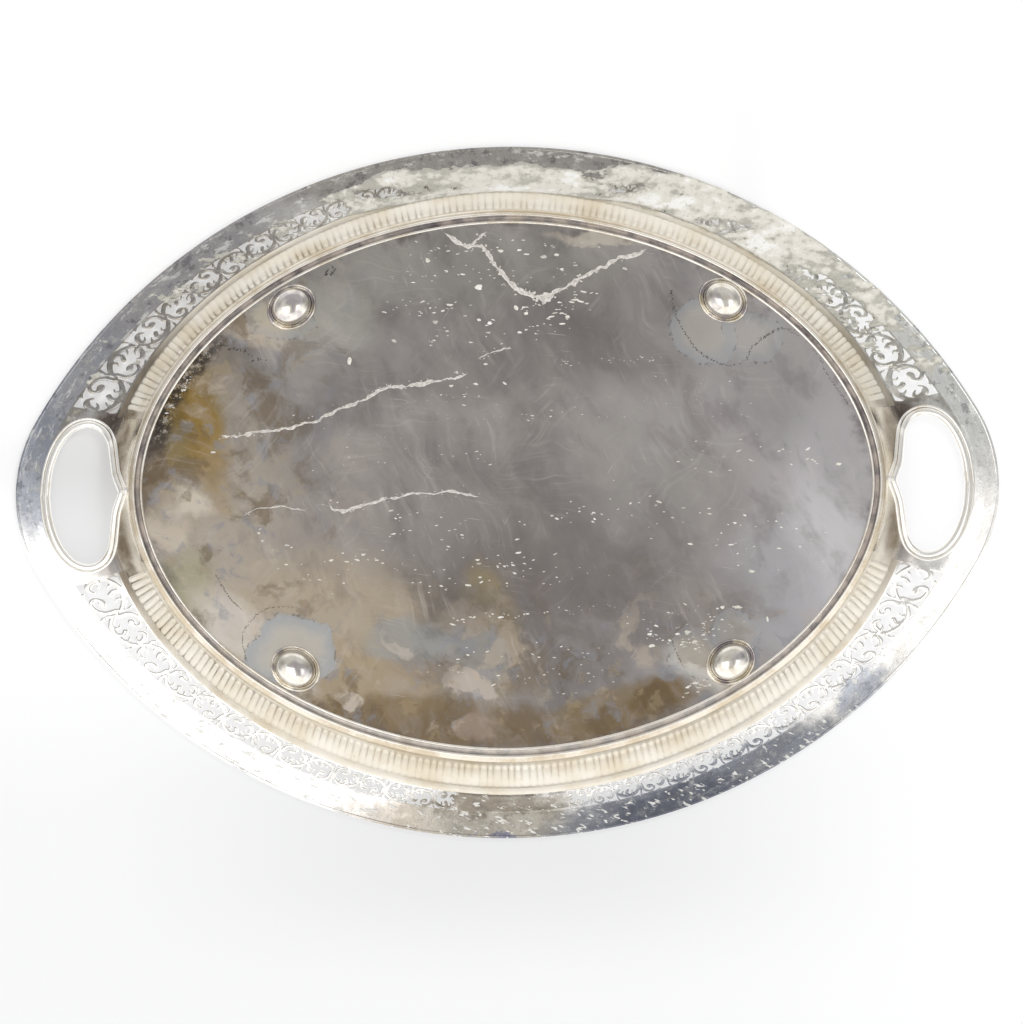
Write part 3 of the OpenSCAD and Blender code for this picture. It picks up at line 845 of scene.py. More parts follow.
foot_under = wall(0.0, 0.0)
foot_over = wall(0.0, 0.0, SHEET_T)
moulding = (
    [(-0.0021, 0.0), (-0.0019, -0.0003)] + arc(-0.0007, -0.0001, 0.0009, 200, 340, 10)
    + [(0.0006, -0.0002), (0.0013, 0.0), (0.002, 0.0004)]
    + [(p[0] - OVAL_A, p[2] - FLOOR_Z) for p in (foot_under, foot_over)]
    + [(0.0, FLOOR_TOP - FLOOR_Z), (0.0, 0.0)]
)
add(ring_piece("foot_moulding", moulding), "bright_moulding", moulding_metal, "base_moulding")


# ---------------------------------------------------------------- reeded walls
REED_PITCH = 0.0043
REED_H = 0.001
REED_SAMPLES = 8


def reed_angles():
    """Angles from handle to handle, nearly evenly spaced along the middle of the reeds."""
    a = np.linspace(HANDLE_A, math.pi - HANDLE_A, 2000)
    p = wall(a, 1.5)
    length = np.concatenate([[0], np.cumsum(np.linalg.norm(np.diff(p, axis=0), axis=1))])
    reeds = int(length[-1] / REED_PITCH)
    rng = np.random.default_rng(4)
    ends = np.linspace(0, length[-1], reeds + 1)
    ends[1:-1] += REED_PITCH * rng.uniform(-0.14, 0.14, reeds - 1)
    samples = np.arange(reeds * REED_SAMPLES + 1) / REED_SAMPLES
    return np.interp(np.interp(samples, np.arange(reeds + 1), ends), length, a)


def make_reeded_wall(name, turn):
    a0 = reed_angles()
    t = np.concatenate([
        np.linspace(0, 1, 5)[:-1], 1 + np.linspace(0, 1, 25)[:-1], 2 + np.linspace(0, 1, 6)
    ])
    # the reeds stand square to the floor's edge, and so lean from the rays of the angle
    step = 1e-4
    slant = (oval_r(a0 + step) - oval_r(a0 - step)) / (2 * step) / oval_r(a0)
    slant *= np.clip(np.minimum(a0 - HANDLE_A, math.pi - HANDLE_A - a0) / math.radians(6), 0, 1)
    s = profile(np.full_like(t, math.pi / 2), t)[0]
    a = a0[:, None] - (slant / oval_r(a0))[:, None] * np.minimum(s - np.interp(1.5, t, s), 0.012)[None]
    tt = np.broadcast_to(t[None], a.shape)
    across = (np.arange(len(a0)) % REED_SAMPLES) / REED_SAMPLES * 2 - 1
    along = np.clip(np.minimum(s - WALL_OUT[1], WALL_OUT[2] - s) / (REED_PITCH / 2), 0, 1)
    waist = np.sqrt(np.clip(1 - (1 - along) ** 2, 0, 1))
    crown = np.clip(waist[None] ** 2 - (across[:, None] * 0.98) ** 2, 0, 1) ** 0.7
    crown[:REED_SAMPLES] = crown[-REED_SAMPLES:] = 0
    # the gaps between reeds grow shallow towards their upper ends
    fade = np.interp(np.degrees(a0 + turn), (22, 34, 60, 72), (0.6, 0.9, 0.9, 0.6))[:, None]
    shallow = np.clip((t - 1.2) / 0.6, 0, 1)[None] * fade * np.minimum(waist[None], 1)
    height = REED_H * (crown + (0.9 - crown) * np.where(crown < 0.9, shallow, 0))
    worn = clumps(np.arange(len(a0)) / 60, 0 * a0, 14 + round(turn), 3)
    height *= (0.7 + 0.55 * worn)[:, None]
    band = np.stack([a + turn, tt, crown], -1)
    under, over = wall(a + turn, tt, -height), wall(a + turn, tt, SHEET_T - 0.8 * height)
    return sheet_piece(name, under, over, sharp=50, band=band)


add(make_reeded_wall("reeds_back", 0), "cream_plate", cream, "reeded_wall_back")
add(make_reeded_wall("reeds_front", math.pi), "cream_plate", cream, "reeded_wall_front")


# ---------------------------------------------------------------- pierced gallery
def stroke(x, y, points, widths, steps=6):
    """Distance into a tapering stroke along a curve, positive inside."""
    path = spline(points, steps)
    w = np.interp(np.linspace(0, 1, len(path)), np.linspace(0, 1, len(widths)), widths)
    best = np.full(x.shape, -9.0)
    for p, q, wp, wq in zip(path, path[1:], w, w[1:]):
        d = q - p
        u = np.clip(((x - p[0]) * d[0] + (y - p[1]) * d[1]) / max(d @ d, 1e-9), 0, 1)
        best = np.maximum(best, wp + u * (wq - wp) - np.hypot(x - p[0] - u * d[0], y - p[1] - u * d[1]))
    return best


def scroll_unit(x, y):
    """Distance into the metal of one scroll, whose ring is closed at the top of the band."""
    wave_x = np.linspace(-0.5, 0.5, 41)
    bend = np.cos(math.pi * wave_x)
    wave = np.stack([wave_x, 0.5 + 0.38 * np.sign(bend) * np.abs(bend) ** 0.62], -1)
    curl = ((-0.42, 0.46), (-0.41, 0.28), (-0.30, 0.13), (-0.12, 0.10), (-0.01, 0.22), (-0.08, 0.36),
            (-0.17, 0.33))
    strokes = (
        (wave, (0.05, 0.07, 0.085, 0.07, 0.05), 1),
        (curl, (0.055, 0.06, 0.045, 0.04, 0.05), 6),
        (((-0.17, 0.33), (-0.14, 0.34)), (0.085, 0.085), 1),
        (((0.42, 0.46), (0.35, 0.30), (0.22, 0.24), (0.13, 0.34)), (0.06, 0.07, 0.012), 6),
        (((0.40, 0.52), (0.30, 0.50), (0.22, 0.42)), (0.05, 0.008), 5),
        (((-0.42, 0.5), (-0.50, 0.74), (-0.43, 0.94)), (0.06, 0.05, 0.03), 6),
        (((0.42, 0.62), (0.47, 0.80), (0.42, 0.94)), (0.05, 0.03), 6),
        (((0.0, 0.88), (0.07, 0.72), (0.0, 0.60)), (0.07, 0.055, 0.06), 6),
        (((-0.20, 0.84), (-0.14, 0.70), (-0.20, 0.62)), (0.05, 0.03, 0.012), 5),
        (((0.24, 0.80), (0.24, 0.68), (0.16, 0.60)), (0.05, 0.03, 0.012), 5),
        (((0.18, 0.10), (0.10, 0.02), (0.0, 0.0)), (0.02, 0.05, 0.06), 5),
    )
    field = np.full(x.shape, -9.0)
    for points, widths, steps in strokes:
        field = np.maximum(field, stroke(x, y, points, widths, steps))
    return field


UNIT_COLS, BAND_ROWS = 34, 44


def gallery_field():
    """Angles of a half gallery, and the distance into its metal as a share of the band's width."""
    v = np.linspace(0, 1, BAND_ROWS + 1)
    x = np.arange(UNIT_COLS) / UNIT_COLS - 0.5
    gx, gy = np.meshgrid(x, v, indexing="ij")
    upright = scroll_unit(gx, gy)
    turned = scroll_unit(-gx, 1 - gy)
    quarter = np.concatenate([turned if k % 2 == 0 else upright for k in range(SCROLLS)])
    ends = np.minimum(np.arange(len(quarter)), np.arange(len(quarter))[::-1]) / UNIT_COLS
    quarter = np.maximum(quarter, (0.08 - ends)[:, None])
    rails = np.maximum(0.05 - v, v - 0.955)[None]
    quarter = np.maximum(quarter, rails)
    lo, hi = HANDLE_A, math.pi / 2 - PANEL_A
    stretch = np.linspace(0, 1, len(quarter))
    near = lo + (hi - lo) * (1.14 * stretch - 0.14 * stretch**2)
    panel = np.linspace(hi, math.pi - hi, 50)[1:-1]
    solid = np.full((len(panel), len(v)), 0.3)
    field = np.concatenate([quarter, solid, quarter[::-1]])
    angles = np.concatenate([near, panel, (math.pi - near)[::-1]])
    return angles, v, field


def make_gallery(name, turn):
    angles, v, field = gallery_field()
    width = (outline_r(angles) - oval_r(angles) - BORDER_W - WALL_OUT[3])[:, None]
    depth = np.minimum(field, 0.3) * width
    edge = np.clip(depth / 0.0011, 0, 1)
    fade = np.clip(np.minimum(v, 1 - v) / 0.10, 0, 1)[None]
    relief = 0.00055 * np.sqrt(1 - (1 - edge) ** 2) * fade
    return cut_sheet(name, angles, 3 + v, field, -relief, SHEET_T - 0.6 * relief, turn=turn)


add(make_gallery("gallery_back", 0), "rim_plate", rim_metal, "pierced_gallery_back")
add(make_gallery("gallery_front", math.pi), "rim_plate", rim_metal, "pierced_gallery_front")


# ---------------------------------------------------------------- rim border and its edge wire
def make_border(steps=720):
    a = turns(steps)[:, None]
    t = np.linspace(4, 5, 11)[None]
    r = outline_r(a)
    calm = (t - 4) * (5 - t) * 4
    wave = 0.00025 * calm * ripple(r * np.cos(a), r * np.sin(a), 0.06, 7)
    band = np.stack(np.broadcast_arrays(a, t, 0 * a * t), -1)
    return sheet_piece("border", wall(a, t, wave), wall(a, t, SHEET_T + wave), closed=True, band=band)


def make_edge_wire(steps=720, sides=14):
    a = -turns(steps)[:, None]
    k = turns(sides)[None]
    r = outline_r(a) - EDGE_WIRE_R * (1 - np.cos(k))
    z = FLOOR_Z + RIM_H + SHEET_T / 2 + EDGE_WIRE_R * 0.75 * np.sin(k)
    points = np.stack([r * np.cos(a), r * np.sin(a), z + 0 * a], -1).reshape(-1, 3)
    band = np.stack(np.broadcast_arrays(a, 5 + 0 * r, 0 * r), -1).reshape(-1, 3)
    return new_piece("edge_wire", points, grid_faces(steps, sides, True, True, flip=True), 50, band)


add(make_border(), "rim_plate", rim_metal, "rim_border")
add(make_edge_wire(), "rim_plate", rim_metal, "rim_edge_wire")


# ---------------------------------------------------------------- handles
HOLE_STEPS = 90


def hole_loop(grow):
    """The right hand hole's outline in plan, grown by a distance."""
    half = spline(HOLE, HOLE_STEPS // (len(HOLE) - 1))
    back = half[::-1] * [1, -1]
    loop = np.concatenate([half, back[:-1]])
    d = np.roll(loop, -1, 0) - np.roll(loop, 1, 0)
    normal = np.stack([d[:, 1], -d[:, 0]], -1) / np.linalg.norm(d, axis=1, keepdims=True)
    return loop + grow * normal


def make_handle_panel(name, side):
    """The sheet round a hand hole, as rings from the hole out to the panel's four edges."""
    inner = hole_loop(WIRE_R - 0.0002)
    i = np.arange(HOLE_STEPS + 1)
    third = HOLE_STEPS / 3
    corners = (0, third, 2 * third, HOLE_STEPS)
    angle = np.interp(i, corners, (0, HANDLE_A, HANDLE_A, 0))
    station = np.interp(i, corners, (4, 4, 0, 0))
    angle = np.concatenate([angle, -angle[::-1][:-1]])
    station = np.concatenate([station, station[::-1][:-1]])
    edge = wall(angle, station)
    u = np.linspace(0, 1, 15)[None]
    x = inner[:, :1] * (1 - u) + edge[:, :1] * u
    y = inner[:, 1:] * (1 - u) + edge[:, 1:2] * u
    under, over = wall_over(x, y), wall_over(x, y, SHEET_T)
    under[:, -1], over[:, -1] = edge, wall(angle, station, SHEET_T)
    a = np.arctan2(y, x)
    band = np.stack([a, station_over(x, y), 0.002 + 0 * a], -1)
    under[..., :2] *= side
    over[..., :2] *= side
    return sheet_piece(name, under, over, closed=True, band=band)


def make_handle_wire(name, side, grow, radius, drop=0.0):
    """A wire round a hand hole: grown past the main wire's middle, and dropped under the sheet."""
    loop = hole_loop(grow)
    centre = wall_over(loop[:, 0], loop[:, 1])
    centre[:, 2] += SHEET_T / 2 - drop
    centre[:, :2] *= side
    return tube_piece(name, centre, radius, 20)


def make_tie(name, side):
    """The short saddle where the two ends of the wire meet the moulding round the floor."""
    u = np.linspace(0, 1, 14)
    x = OVAL_A + 0.0022 + u * (HOLE[-1][0] + 0.0012 - OVAL_A - 0.0022)
    centre = wall_over(x, 0 * x)
    centre[:, 2] -= 0.0006
    radius = 0.0013 * np.sqrt(np.clip(1 - (2 * u - 1) ** 6, 0.02, 1))
    centre[:, :2] *= side
    return tube_piece(name, centre, radius, 14, closed=False)


for word, side in (("right", 1), ("left", -1)):
    add(make_handle_panel(f"handle_sheet_{word}", side), "rim_plate", rim_metal, f"handle_panel_{word}")
    wire = make_handle_wire(f"handle_bead_{word}", side, 0.0, WIRE_R)
    add(wire, "bright_moulding", bright, f"handle_wire_{word}")
    add(make_handle_wire(f"handle_fillet_{word}", side, 0.0031, 0.0009, 0.0008), "bright_moulding", bright)
    add(make_tie(f"handle_saddle_{word}", side), "bright_moulding", bright, f"handle_tie_{word}")


# ---------------------------------------------------------------- feet
FOOT_HALF_L, FOOT_HALF_W = 0.0155, 0.013
FOOT_SHIFT = 0.0018                                # the feet's middle lies this far to the left


def foot_turn(x, y):
    """Turn of a foot's long axis, along the edge of the floor beside it."""
    x += FOOT_SHIFT
    return -math.copysign(1, x * y) * math.atan((OVAL_B / OVAL_A) ** OVAL_P * abs(x / y) ** (OVAL_P - 1))


def foot_piece(name, place, section, steps=72):
    """An oval turning: section is pairs of (share of the foot's radius, height below the floor)."""
    k = -turns(steps)[:, None]
    f = np.array([p[0] for p in section])[None]
    z = np.array([p[1] for p in section])[None]
    x, y = FOOT_HALF_L * f * np.cos(k), FOOT_HALF_W * f * np.sin(k)
    turn = foot_turn(*place)
    points = np.stack([
        place[0] + x * math.cos(turn) - y * math.sin(turn),
        place[1] + x * math.sin(turn) + y * math.cos(turn), FLOOR_Z - z + 0 * k
    ], -1)
    return new_piece(name, points.reshape(-1, 3), grid_faces(steps, len(section), True, True, flip=True), 60)


collar = (
    (0.60, 0.0), (1.0, 0.0), (1.0, 0.0009), (0.995, 0.0007), (0.98, 0.0012), (0.955, 0.0013), (0.93, 0.0010),
    (0.915, 0.0004), (0.895, 0.0003), (0.88, 0.0009), (0.865, 0.0016), (0.84, 0.0020), (0.815, 0.0018),
    (0.80, 0.0012), (0.785, 0.0008), (0.60, 0.0008)
)
DOME_SHARE, DOME_MIDDLE, DOME_RISE = 0.80, 0.0034, 0.0073
dome = [(0.74, 0.0007)]
for k in np.radians(range(-20, 90, 5)):
    dome.append((DOME_SHARE * math.cos(k) ** 0.92, DOME_MIDDLE + DOME_RISE * math.sin(k)))
dome.append((0.004, DOME_MIDDLE + DOME_RISE))
dome = [(f, min(z, FLOOR_Z - 0.00001)) for f, z in dome] + [(0.004, 0.0007)]

for y_word in ("front", "back"):
    for x_word in ("left", "right"):
        lo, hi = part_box(f"foot_dome_{y_word}_{x_word}")
        place = ((lo.x + hi.x) / 2, (lo.y + hi.y) / 2)
        name = f"{y_word}_{x_word}"
        add(foot_piece(f"foot_ring_{name}", place, collar), "foot_plate", foot_metal, f"foot_collar_{name}")
        add(foot_piece(f"foot_bun_{name}", place, dome), "foot_plate", foot_metal, f"foot_dome_{name}")


# ---------------------------------------------------------------- dried polish
# Runs of dried polish across the floor: half width in mm, then points along the run in mm
STREAKS = (
    (1.15, (36, 153.5), (28, 148), (22, 145), (12, 144), (8, 140), (5, 133), (-1, 125), (-8, 118.5),
     (-17, 115), (-24, 112.5), (-33, 117), (-43, 122), (-58.5, 130), (-69, 135), (-86, 142)),
    (0.8, (10, 153.5), (17, 149), (22, 145.5)),
    (1.0, (173, 32), (161, 32), (141, 34), (127.5, 38), (111, 41.5), (99, 47.5), (85, 53.5), (74.5, 59.5),
     (65, 60.5), (56.5, 61), (44, 63), (32, 65.5), (23, 68)),
    (0.6, (17, 77), (9, 80), (-4, 83)),
    (0.75, (108, -10), (104, -13), (96, -14), (88, -11.5), (77, -9.5), (67, -6.5), (55, -6), (44, -5),
     (33, -4), (17, -6)),
    (0.35, (159, -18), (152, -14), (138, -11.5), (129, -13), (121, -14)),
    (0.3, (-50, -48), (-63, -67), (-67, -65)),
    (2.0, (-18, 113.8), (-24, 112.8), (-30, 115)),
)
# Larger splashes: place in mm, half length and half width in mm, turn in degrees
SPLASHES = (
    (94, 76, 2.6, 1.3, 88), (67, 88, 1.8, 0.9, 30), (33, 60, 1.8, 1.1, 0), (18, 61, 2.0, 1.0, 10),
    (0.5, 61, 2.0, 0.9, 40), (15.5, 100, 1.3, 0.9, 0), (9, 98, 1.7, 1.0, 20), (42, 99, 1.7, 1.1, 0),
    (-7, 107, 2.0, 1.0, 40), (-13, 103.5, 1.4, 0.9, 0), (15.5, 120, 2.3, 1.9, 0), (-38, 101, 1.7, 1.0, 0),
    (-24, 138, 1.8, 1.0, 0), (-32, 139, 1.8, 0.8, 0), (2, 142, 1.8, 1.0, 0), (12, 73, 1.7, 0.8, 0),
    (-9, 92, 1.6, 0.8, 0), (-73, 130, 1.8, 0.8, 20), (-200, 9, 1.8, 0.9, 0), (-146, -55, 1.8, 0.9, 0),
    (-128, -76.5, 1.8, 1.1, 0), (-137, -76.5, 3.4, 1.1, 0), (-155, -84, 3.3, 0.9, 80),
    (-84, -92, 2.4, 1.1, 0), (-88, -87, 2.0, 0.9, 20), (-101, -92, 2.0, 1.0, 0), (-107, -91, 2.2, 1.2, 0),
    (-85, -99, 2.3, 1.1, 0), (-111, -97, 2.3, 1.0, 0), (46, 137, 3.0, 2.2, 40), (177, 22, 3.6, 1.5, 0),
    (-24, 114, 1.6, 0.9, 0),
)
# Rows of small splashes: from, to, how many, how far they stray, in mm
SPECK_ROWS = (
    (60, 142, -60, 146, 34, 5), (70, 128, -50, 130, 40, 7), (80, 104, -56, 112, 44, 8),
    (52, 88, -40, 96, 30, 7), (-27, 73, -95, 75, 26, 2.5), (-10, 88, -50, 117, 18, 1.5),
    (60, 50, 14, 56, 14, 3), (60, 40, -84, 44, 30, 8), (120, 14, 10, 18, 26, 8),
    (80, -24, -60, -20, 40, 10), (104, -44, -30, -48, 40, 10), (60, -60, -70, -56, 30, 8),
    (40, -82, -70, -74, 48, 3), (-70, -82, -130, -84, 30, 8), (-80, -94, -118, -98, 18, 4),
    (-100, 20, -190, 10, 24, 16), (-120, -30, -200, -40, 24, 18), (60, -112, -60, -118, 24, 10),
    (150, -30, 100, -60, 20, 16), (-90, 60, -150, 40, 20, 14), (130, 40, 60, 20, 16, 12),
    (-60, -10, -140, -40, 26, 18), (30, -100, -60, -104, 20, 6), (207, 42, 190, 70, 26, 3),
    (-104, -128, -146, -108, 40, 5), (-96, -100, -140, -84, 30, 8),
)
# Dark, grainy lines where pools of tarnish dried: grain size, then points along the line, in mm
TIDE_LINES = (
    (0.5, (-101, 117), (-103, 102), (-110, 88), (-118, 78), (-128, 72), (-137, 70), (-145, 73), (-150, 82),
     (-160, 89), (-168, 92), (-177, 89), (-189, 75), (-195, 62), (-207, 45)),
    (0.34, (-151, 82), (-160, 88.5), (-168, 91.5), (-176, 88)),
    (0.6, (177, 84), (170, 87), (162, 84)),
    (0.9, (180, 83), (188, 75), (195, 66), (201, 57), (206, 46), (210, 34)),
    (0.7, (184, 76), (191, 66), (199, 54), (206, 38)),
    (0.6, (168, 85), (160, 84), (152, 80)),
    (0.8, (156, 77), (150, 78), (145, 77)),
    (1.2, (109, 130), (105, 132), (100, 133)),
    (1.1, (107, 130), (104, 131), (101, 133)),
    (0.3, (176, -52), (168, -66), (160, -74)),
    (0.3, (158, -104), (160, -88), (148, -74), (132, -72), (118, -76)),
    (0.3, (-96, -84), (-98, -98), (-104, -112)),
)
FLOOR_REACH = 0.966                                # how far towards the bead specks are found


def ribbon(points, half_width, seed):
    """Points, faces and bands of a thin, ragged run across the floor, -1 to 1 over its width."""
    path = spline([(x * MM, y * MM) for x, y in points], 10)
    steps = np.linalg.norm(np.diff(path, axis=0), axis=1)
    along = np.concatenate([[0], np.cumsum(steps)])
    at = np.linspace(0, along[-1], max(int(along[-1] / 0.0008), 4))
    path = np.stack([np.interp(at, along, path[:, k]) for k in (0, 1)], -1)
    d = np.gradient(path, axis=0)
    side = np.stack([-d[:, 1], d[:, 0]], -1) / np.linalg.norm(d, axis=1, keepdims=True)
    path = path + side * ((clumps(at / 0.011, 0 * at, seed) - 0.5) * 0.0042)[:, None]
    ends = np.clip(np.minimum(at, at[-1] - at) / 0.004, 0.15, 1)
    w, v = (half_width * MM * ends * (3.2 * clumps(at / 0.0035, 0 * at + row, seed + 1, 5) - 0.75).clip(0.12)
            for row in (3, 7))
    left, right = path + side * w[:, None], path - side * v[:, None]
    rows = [np.column_stack([q, np.full(len(at), z)]) for q, z in (
        (left, FLOOR_Z + 0.00005), (left * 0.8 + path * 0.2, FLOOR_Z - 0.00008), (path, FLOOR_Z - 0.00012),
        (right * 0.8 + path * 0.2, FLOOR_Z - 0.00008), (right, FLOOR_Z + 0.00005))]
    band = np.zeros((len(at), 5, 3))
    band[..., 0] = (-1, -0.8, 0, 0.8, 1)
    return np.stack(rows, 1).reshape(-1, 3), grid_faces(len(at), 5, False, True), band.reshape(-1, 3)


def make_streaks():
    points, faces, bands = [], [], []
    for seed, (half_width, *run) in enumerate(STREAKS):
        p, f, band = ribbon(run, half_width, 20 + seed)
        faces += [tuple(len(points) + v for v in face) for face in f]
        points += list(p)
        bands += list(band)
    return new_piece("polish_streaks", points, faces, 60, bands)


def make_drops(name, drops, seed):
    """Low, uneven drops on the floor: place, half length and half width in mm, turn in degrees."""
    rng = random.Random(seed)
    points, faces, bands = [], [], []
    for x, y, a, b, turn in drops:
        if math.hypot(x, y) * MM > FLOOR_REACH * oval_r(math.atan2(y, x)):
            continue
        c, s, n, start = math.cos(math.radians(turn)), math.sin(math.radians(turn)), 11, len(points)
        for k in range(n):
            q = 2 * math.pi * k / n
            r = rng.uniform(0.7, 1.25)
            u, v = a * r * math.cos(q), b * r * math.sin(q)
            points.append(((x + u * c - v * s) * MM, (y + u * s + v * c) * MM, FLOOR_Z + 0.00004))
        points += [(x * MM, y * MM, FLOOR_Z - 0.00018), (x * MM, y * MM, FLOOR_Z + 0.0002)]
        bands += [(0, 0, rng.uniform(0.1, 0.7))] * (n + 2)
        for k in range(n):
            p, q = start + k, start + (k + 1) % n
            faces += [(q, p, start + n), (p, q, start + n + 1)]
    return new_piece(name, points, faces, 80, bands)


def speck_drops():
    rng = random.Random(12)
    drops = list(SPLASHES)
    for x0, y0, x1, y1, count, stray in SPECK_ROWS:
        for _ in range(count):
            u = rng.random()
            size = 0.32 + 0.55 * rng.random() ** 3
            x = x0 + u * (x1 - x0) + rng.uniform(-2, 2)
            y = y0 + u * (y1 - y0) + rng.gauss(0, stray / 2)
            drops.append((x, y, size * rng.uniform(1.3, 3.0), size * 0.75, rng.gauss(0, 12)))
    return drops


def spatter_drops():
    """Small drops on both sides of the runs."""
    rng = random.Random(9)
    drops = []
    for half_width, *run in STREAKS:
        for x, y in spline(run, 9)[1:-1]:
            if rng.random() < 0.55:
                size = half_width * rng.uniform(0.25, 0.7)
                drops.append((x + rng.gauss(0, 1.3), y + rng.gauss(0, 1.3), size * rng.uniform(1, 2), size,
                              rng.uniform(0, 180)))
    return drops


def tide_drops():
    rng = random.Random(5)
    drops = []
    for grain, *line in TIDE_LINES:
        path = spline(line, 12)
        along = np.concatenate([[0], np.cumsum(np.linalg.norm(np.diff(path, axis=0), axis=1))])
        for at in np.arange(0, along[-1], grain * 1.2):
            x, y = (np.interp(at + rng.uniform(-0.5, 0.5), along, path[:, k]) + rng.gauss(0, grain * 0.8)
                    for k in (0, 1))
            if rng.random() < 0.8:
                drops.append((x, y, grain * rng.uniform(0.5, 1.5), grain * rng.uniform(0.4, 0.8),
                              rng.uniform(0, 180)))
    return drops


# Knobs of the crust: angle in degrees, station, half width in degrees, height
KNOBS = (
    (102.7, 3.6, 1.8, 0.0022), (117.2, 3.3, 2.4, 0.0018), (122, 3.8, 1.6, 0.0012), (136, 3.5, 2.0, 0.0012),
)


CRUST_T = 0.0006


def make_crust():
    """Polish caked on the back of the rim, thickest over the middle, where it clogs the piercing."""
    a = np.radians(np.linspace(14, 166, 1300))[:, None]
    t = np.linspace(2.0, 5.0, 76)[None]
    deg = np.degrees(a)
    x, y, _ = np.moveaxis(wall(a, t), -1, 0) / MM
    cover = np.interp(deg, (14, 30, 45, 62, 70, 84, 106, 112, 124, 150, 158, 166),
                      (0.1, 0.3, 0.36, 0.5, 0.75, 0.95, 0.95, 0.85, 0.74, 0.58, 0.28, 0.1))
    cover = cover + np.interp(deg, (128, 145), (0, 0.32)) * np.clip((t - 3.9) / 0.15, 0, 1)
    reach = np.interp(deg, (14, 45, 62, 70, 78, 104, 110, 124, 150, 166),
                      (4.9, 4.3, 4.2, 4.6, 4.0, 4.1, 4.5, 4.9, 4.8, 4.9))
    start = np.interp(deg, (60, 72, 106, 114), (3.05, 2.05, 2.05, 3.05))
    smear = clumps(x / 26 + y / 60, y / 8, 5, 6)
    flake = clumps(x / 5, y / 2.2, 31, 4)
    lump = clumps(x / 7, y / 5, 9, 4)
    # field is positive where there is crust, and less than nought beyond its reach on either side
    field = cover - 0.52 + 1.25 * (smear - 0.5) + 0.7 * (flake - 0.5)
    field = field - 2.4 * np.maximum(t - reach, 0) - 6 * np.maximum(start - t, 0)
    field = np.minimum(field, (t - 2.0) * 6)
    thick = CRUST_T * (1 + np.clip(field, 0, 0.5) + 2 * (lump - 0.5))
    # over the middle of the back it is smoother, whiter on the fillet and greyer over the gallery
    middle = np.interp(deg, (68, 76, 96, 106), (0, 1, 1, 0))
    white = field + (0.8 - 0.45 * middle) * (lump - 0.5) + middle * np.interp(t, (2.7, 3.3), (0.2, -0.2))
    # each knob is whiter: thicker polish, and a painted highlight on its top
    for at_deg, at_t, size, tall in KNOBS:
        knob = np.exp(-((deg - at_deg) / size) ** 2 - ((t - at_t) / 0.4) ** 2) * (0.3 + 1.2 * flake)
        thick = thick + tall * knob
        white = white + 0.9 * knob
        field = np.maximum(field, knob - 0.35)
    taper = np.clip(field / 0.12, 0, 1)
    under = -np.maximum(thick, 0.0003) * taper - 0.0001
    over = np.full(field.shape, 0.0003)
    return cut_sheet("polish_crust", a[:, 0], t[0], field, under, over, 60, shade=white)


add(make_streaks(), "tarnished_plate", film)
add(make_drops("polish_specks", speck_drops(), 12), "tarnished_plate", polish)
add(make_drops("polish_spatter", spatter_drops(), 7), "tarnished_plate", film)
add(make_drops("tide_lines", tide_drops(), 3), "tarnished_plate", tide)
add(make_crust(), "rim_plate", polish)


# ---------------------------------------------------------------- camera
VIEW_TILT = math.radians(5.6)
VIEW_ROLL = math.radians(0.9)
VIEW_DISTANCE = 2.6
FRAME_WIDTH = 0.6244                               # what the picture spans at the rim
aim = Vector((-0.0023, -0.0137, FLOOR_Z + RIM_H))

right = Vector((-1, 0, 0))
up = Vector((0, math.cos(VIEW_TILT), -math.sin(VIEW_TILT)))
back = Vector((0, -math.sin(VIEW_TILT), -math.cos(VIEW_TILT)))
roll = Matrix.Rotation(-VIEW_ROLL, 3, back)
right, up = roll @ right, roll @ up
cam_data = bpy.data.cameras.new("camera")
cam = put_object("camera", cam_data)
turned = Matrix((right, up, back)).transposed().to_4x4()
cam.matrix_world = Matrix.Translation(aim + VIEW_DISTANCE * back) @ turned
cam_data.sensor_width = 36
cam_data.lens = 36 * VIEW_DISTANCE / FRAME_WIDTH
cam_data.clip_start, cam_data.clip_end = 0.1, 20
bpy.context.scene.camera = cam


# ---------------------------------------------------------------- stage and light
# How pale the table is and how much it glows, behind the tray's back and nearer its front
BACK_PALE, BACK_GLOW = (0.705, 0.71, 0.72, 1), 0.27
FRONT_PALE, FRONT_GLOW = (0.305, 0.31, 0.32, 1), 0.68


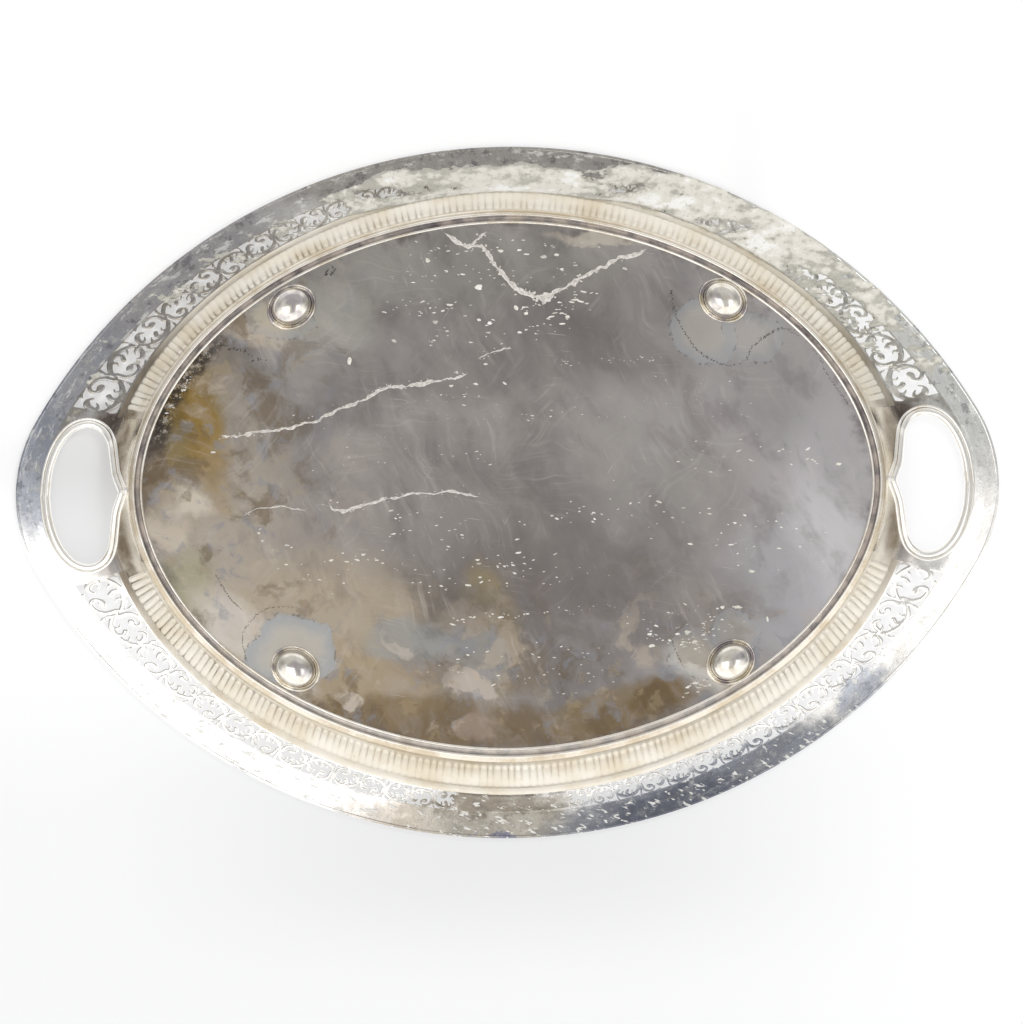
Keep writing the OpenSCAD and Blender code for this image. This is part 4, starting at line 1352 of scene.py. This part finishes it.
def stage_plane(name, z, size, facing):
    """A pale surface that shows only from its front, and that the tray does not reflect."""
    m = bpy.data.materials.new(name)
    g = Graph(m)
    b = g.nodes["Principled BSDF"]
    place = g.put("ShaderNodeNewGeometry", {}, "Position")
    x, y, _ = g.split(place)
    # it glows a little, so that the tray's shadow stays faint, more so towards the front and the right
    near = g.max(g.ramp(y, 0.05, -0.05), g.ramp(x, -0.12, -0.22))
    # soft shade in front of the tray, and under its left hand hole
    front = g.mul(g.ramp(y, -0.1, -0.2), g.ramp(x, -0.30, -0.05, 0.0, 0.05))
    close = g.mul(g.ramp(y, -0.31, -0.225, 0.0, 0.1), g.ramp(y, -0.1, -0.18))
    close = g.mul(close, g.ramp(g.abs(x), 0.28, 0.03))
    front = g.add(front, close)
    hole = g.ramp(g.length(g.map(place, (0.26, 0, 0), scale=(0.03, 0.05, 9))), 1.3, 0.9, 0.0, 0.2)
    open_light = g.sub(1.0, g.add(front, hole))
    pale = g.mix(near, BACK_PALE, FRONT_PALE)
    g.links.new(g.mix(open_light, (0, 0, 0, 1), pale), b.inputs["Base Color"])
    b.inputs["Emission Color"].default_value = (1, 1, 1, 1)
    g.links.new(g.mul(open_light, g.ramp(near, 0, 1, BACK_GLOW, FRONT_GLOW)), b.inputs["Emission Strength"])
    b.inputs["Roughness"].default_value = 0.9
    b.inputs["Specular IOR Level"].default_value = 0.0
    behind = g.put("ShaderNodeNewGeometry", {}, "Backfacing")
    clear = g.put("ShaderNodeBsdfTransparent", {})
    shown = g.put("ShaderNodeMixShader", {0: behind, 1: b.outputs[0], 2: clear})
    g.links.new(shown, g.nodes["Material Output"].inputs["Surface"])
    h = size / 2
    corners = [(-h, -h, z), (h, -h, z), (h, h, z), (-h, h, z)]
    mesh = bpy.data.meshes.new(name)
    mesh.from_pydata(corners if facing > 0 else corners[::-1], [], [(0, 1, 2, 3)])
    plane = put_object(name, mesh)
    plane.data.materials.append(m)
    plane.visible_diffuse = plane.visible_glossy = False
    plane.visible_transmission = plane.visible_shadow = False


stage_plane("table_behind_rim", cad_box[1].z + 0.001, 8, -1)
stage_plane("table_under_feet", 0.0, 8, 1)


def make_world():
    """A studio seen in the metal: a grey ceiling over the camera, windows beside it, a white table."""
    world = bpy.data.worlds.new("studio")
    bpy.context.scene.world = world
    g = Graph(world)
    direction = g.put("ShaderNodeTexCoord", {}, 0)
    x, y, z = g.split(direction)
    down = g.mul(z, -1.0)
    # the ceiling above the camera, towards +Y, and the photographer's shape towards -Y
    back_half = g.ramp(y, 0.03, 0.075)
    person = g.mul(g.ramp(x, -0.33, -0.27), g.ramp(x, 0.11, 0.06))
    dark = g.max(back_half, person)
    near_nadir = g.ramp(down, 0.82, 0.90)
    overhead = g.add(g.mul(dark, -1.75), 2.3)
    # lower down the room is darker beyond both ends of the tray, and brighter towards -Y
    side = g.mul(g.ramp(g.abs(x), 0.45, 0.85), g.ramp(y, -0.45, -0.05))
    room = g.add(g.ramp(y, -0.2, 0.3, 1.2, 0.62), g.mul(side, -0.3))
    table = g.ramp(down, 0.52, 0.36)
    white = g.sub(g.ramp(y, -0.05, -0.4, 1.0, 1.22), g.mul(side, 0.55))
    room = g.add(g.mul(room, g.sub(1.0, table)), g.mul(table, white))
    lower = g.add(g.mul(overhead, near_nadir),
                   g.mul(room, g.sub(1.0, near_nadir)))
    # over the tray: one broad soft box, with a darker ring of room round it
    upper = g.add(g.ramp(z, 0.15, 0.45, 1.0, 0.8), g.ramp(z, 0.72, 0.86, 0.0, 0.8))
    upper = g.add(upper, g.ramp(y, -0.1, -0.5, 0.05, -0.05))
    strength = g.add(g.mul(lower, g.ramp(z, 0.12, -0.02)),
                      g.mul(upper, g.ramp(z, -0.02, 0.12)))
    seen = g.put("ShaderNodeLightPath", {}, "Is Camera Ray")
    strength = g.put("ShaderNodeMix", {0: seen, 2: strength, 3: 0.9}, 0, data_type="FLOAT")
    background = g.nodes["Background"]
    background.inputs["Color"].default_value = (1.0, 0.988, 0.972, 1)
    g.links.new(strength, background.inputs["Strength"])


make_world()


def area_light(name, place, aim_at, size, power):
    data = bpy.data.lights.new(name, "AREA")
    data.shape = "DISK"
    data.size = size
    data.energy = power
    lamp = put_object(name, data)
    lamp.location = place
    lamp.rotation_mode = "QUATERNION"
    lamp.rotation_quaternion = (Vector(aim_at) - Vector(place)).to_track_quat("-Z", "Y")
    lamp.visible_glossy = False


area_light("softbox_below", (-1.0, 1.4, -2.0), (0, 0, 0), 0.8, 14)
area_light("softbox_above", (0.8, -1.0, 2.2), (0, 0, 0), 1.2, 30)

bpy.context.scene.view_settings.view_transform = "Standard"
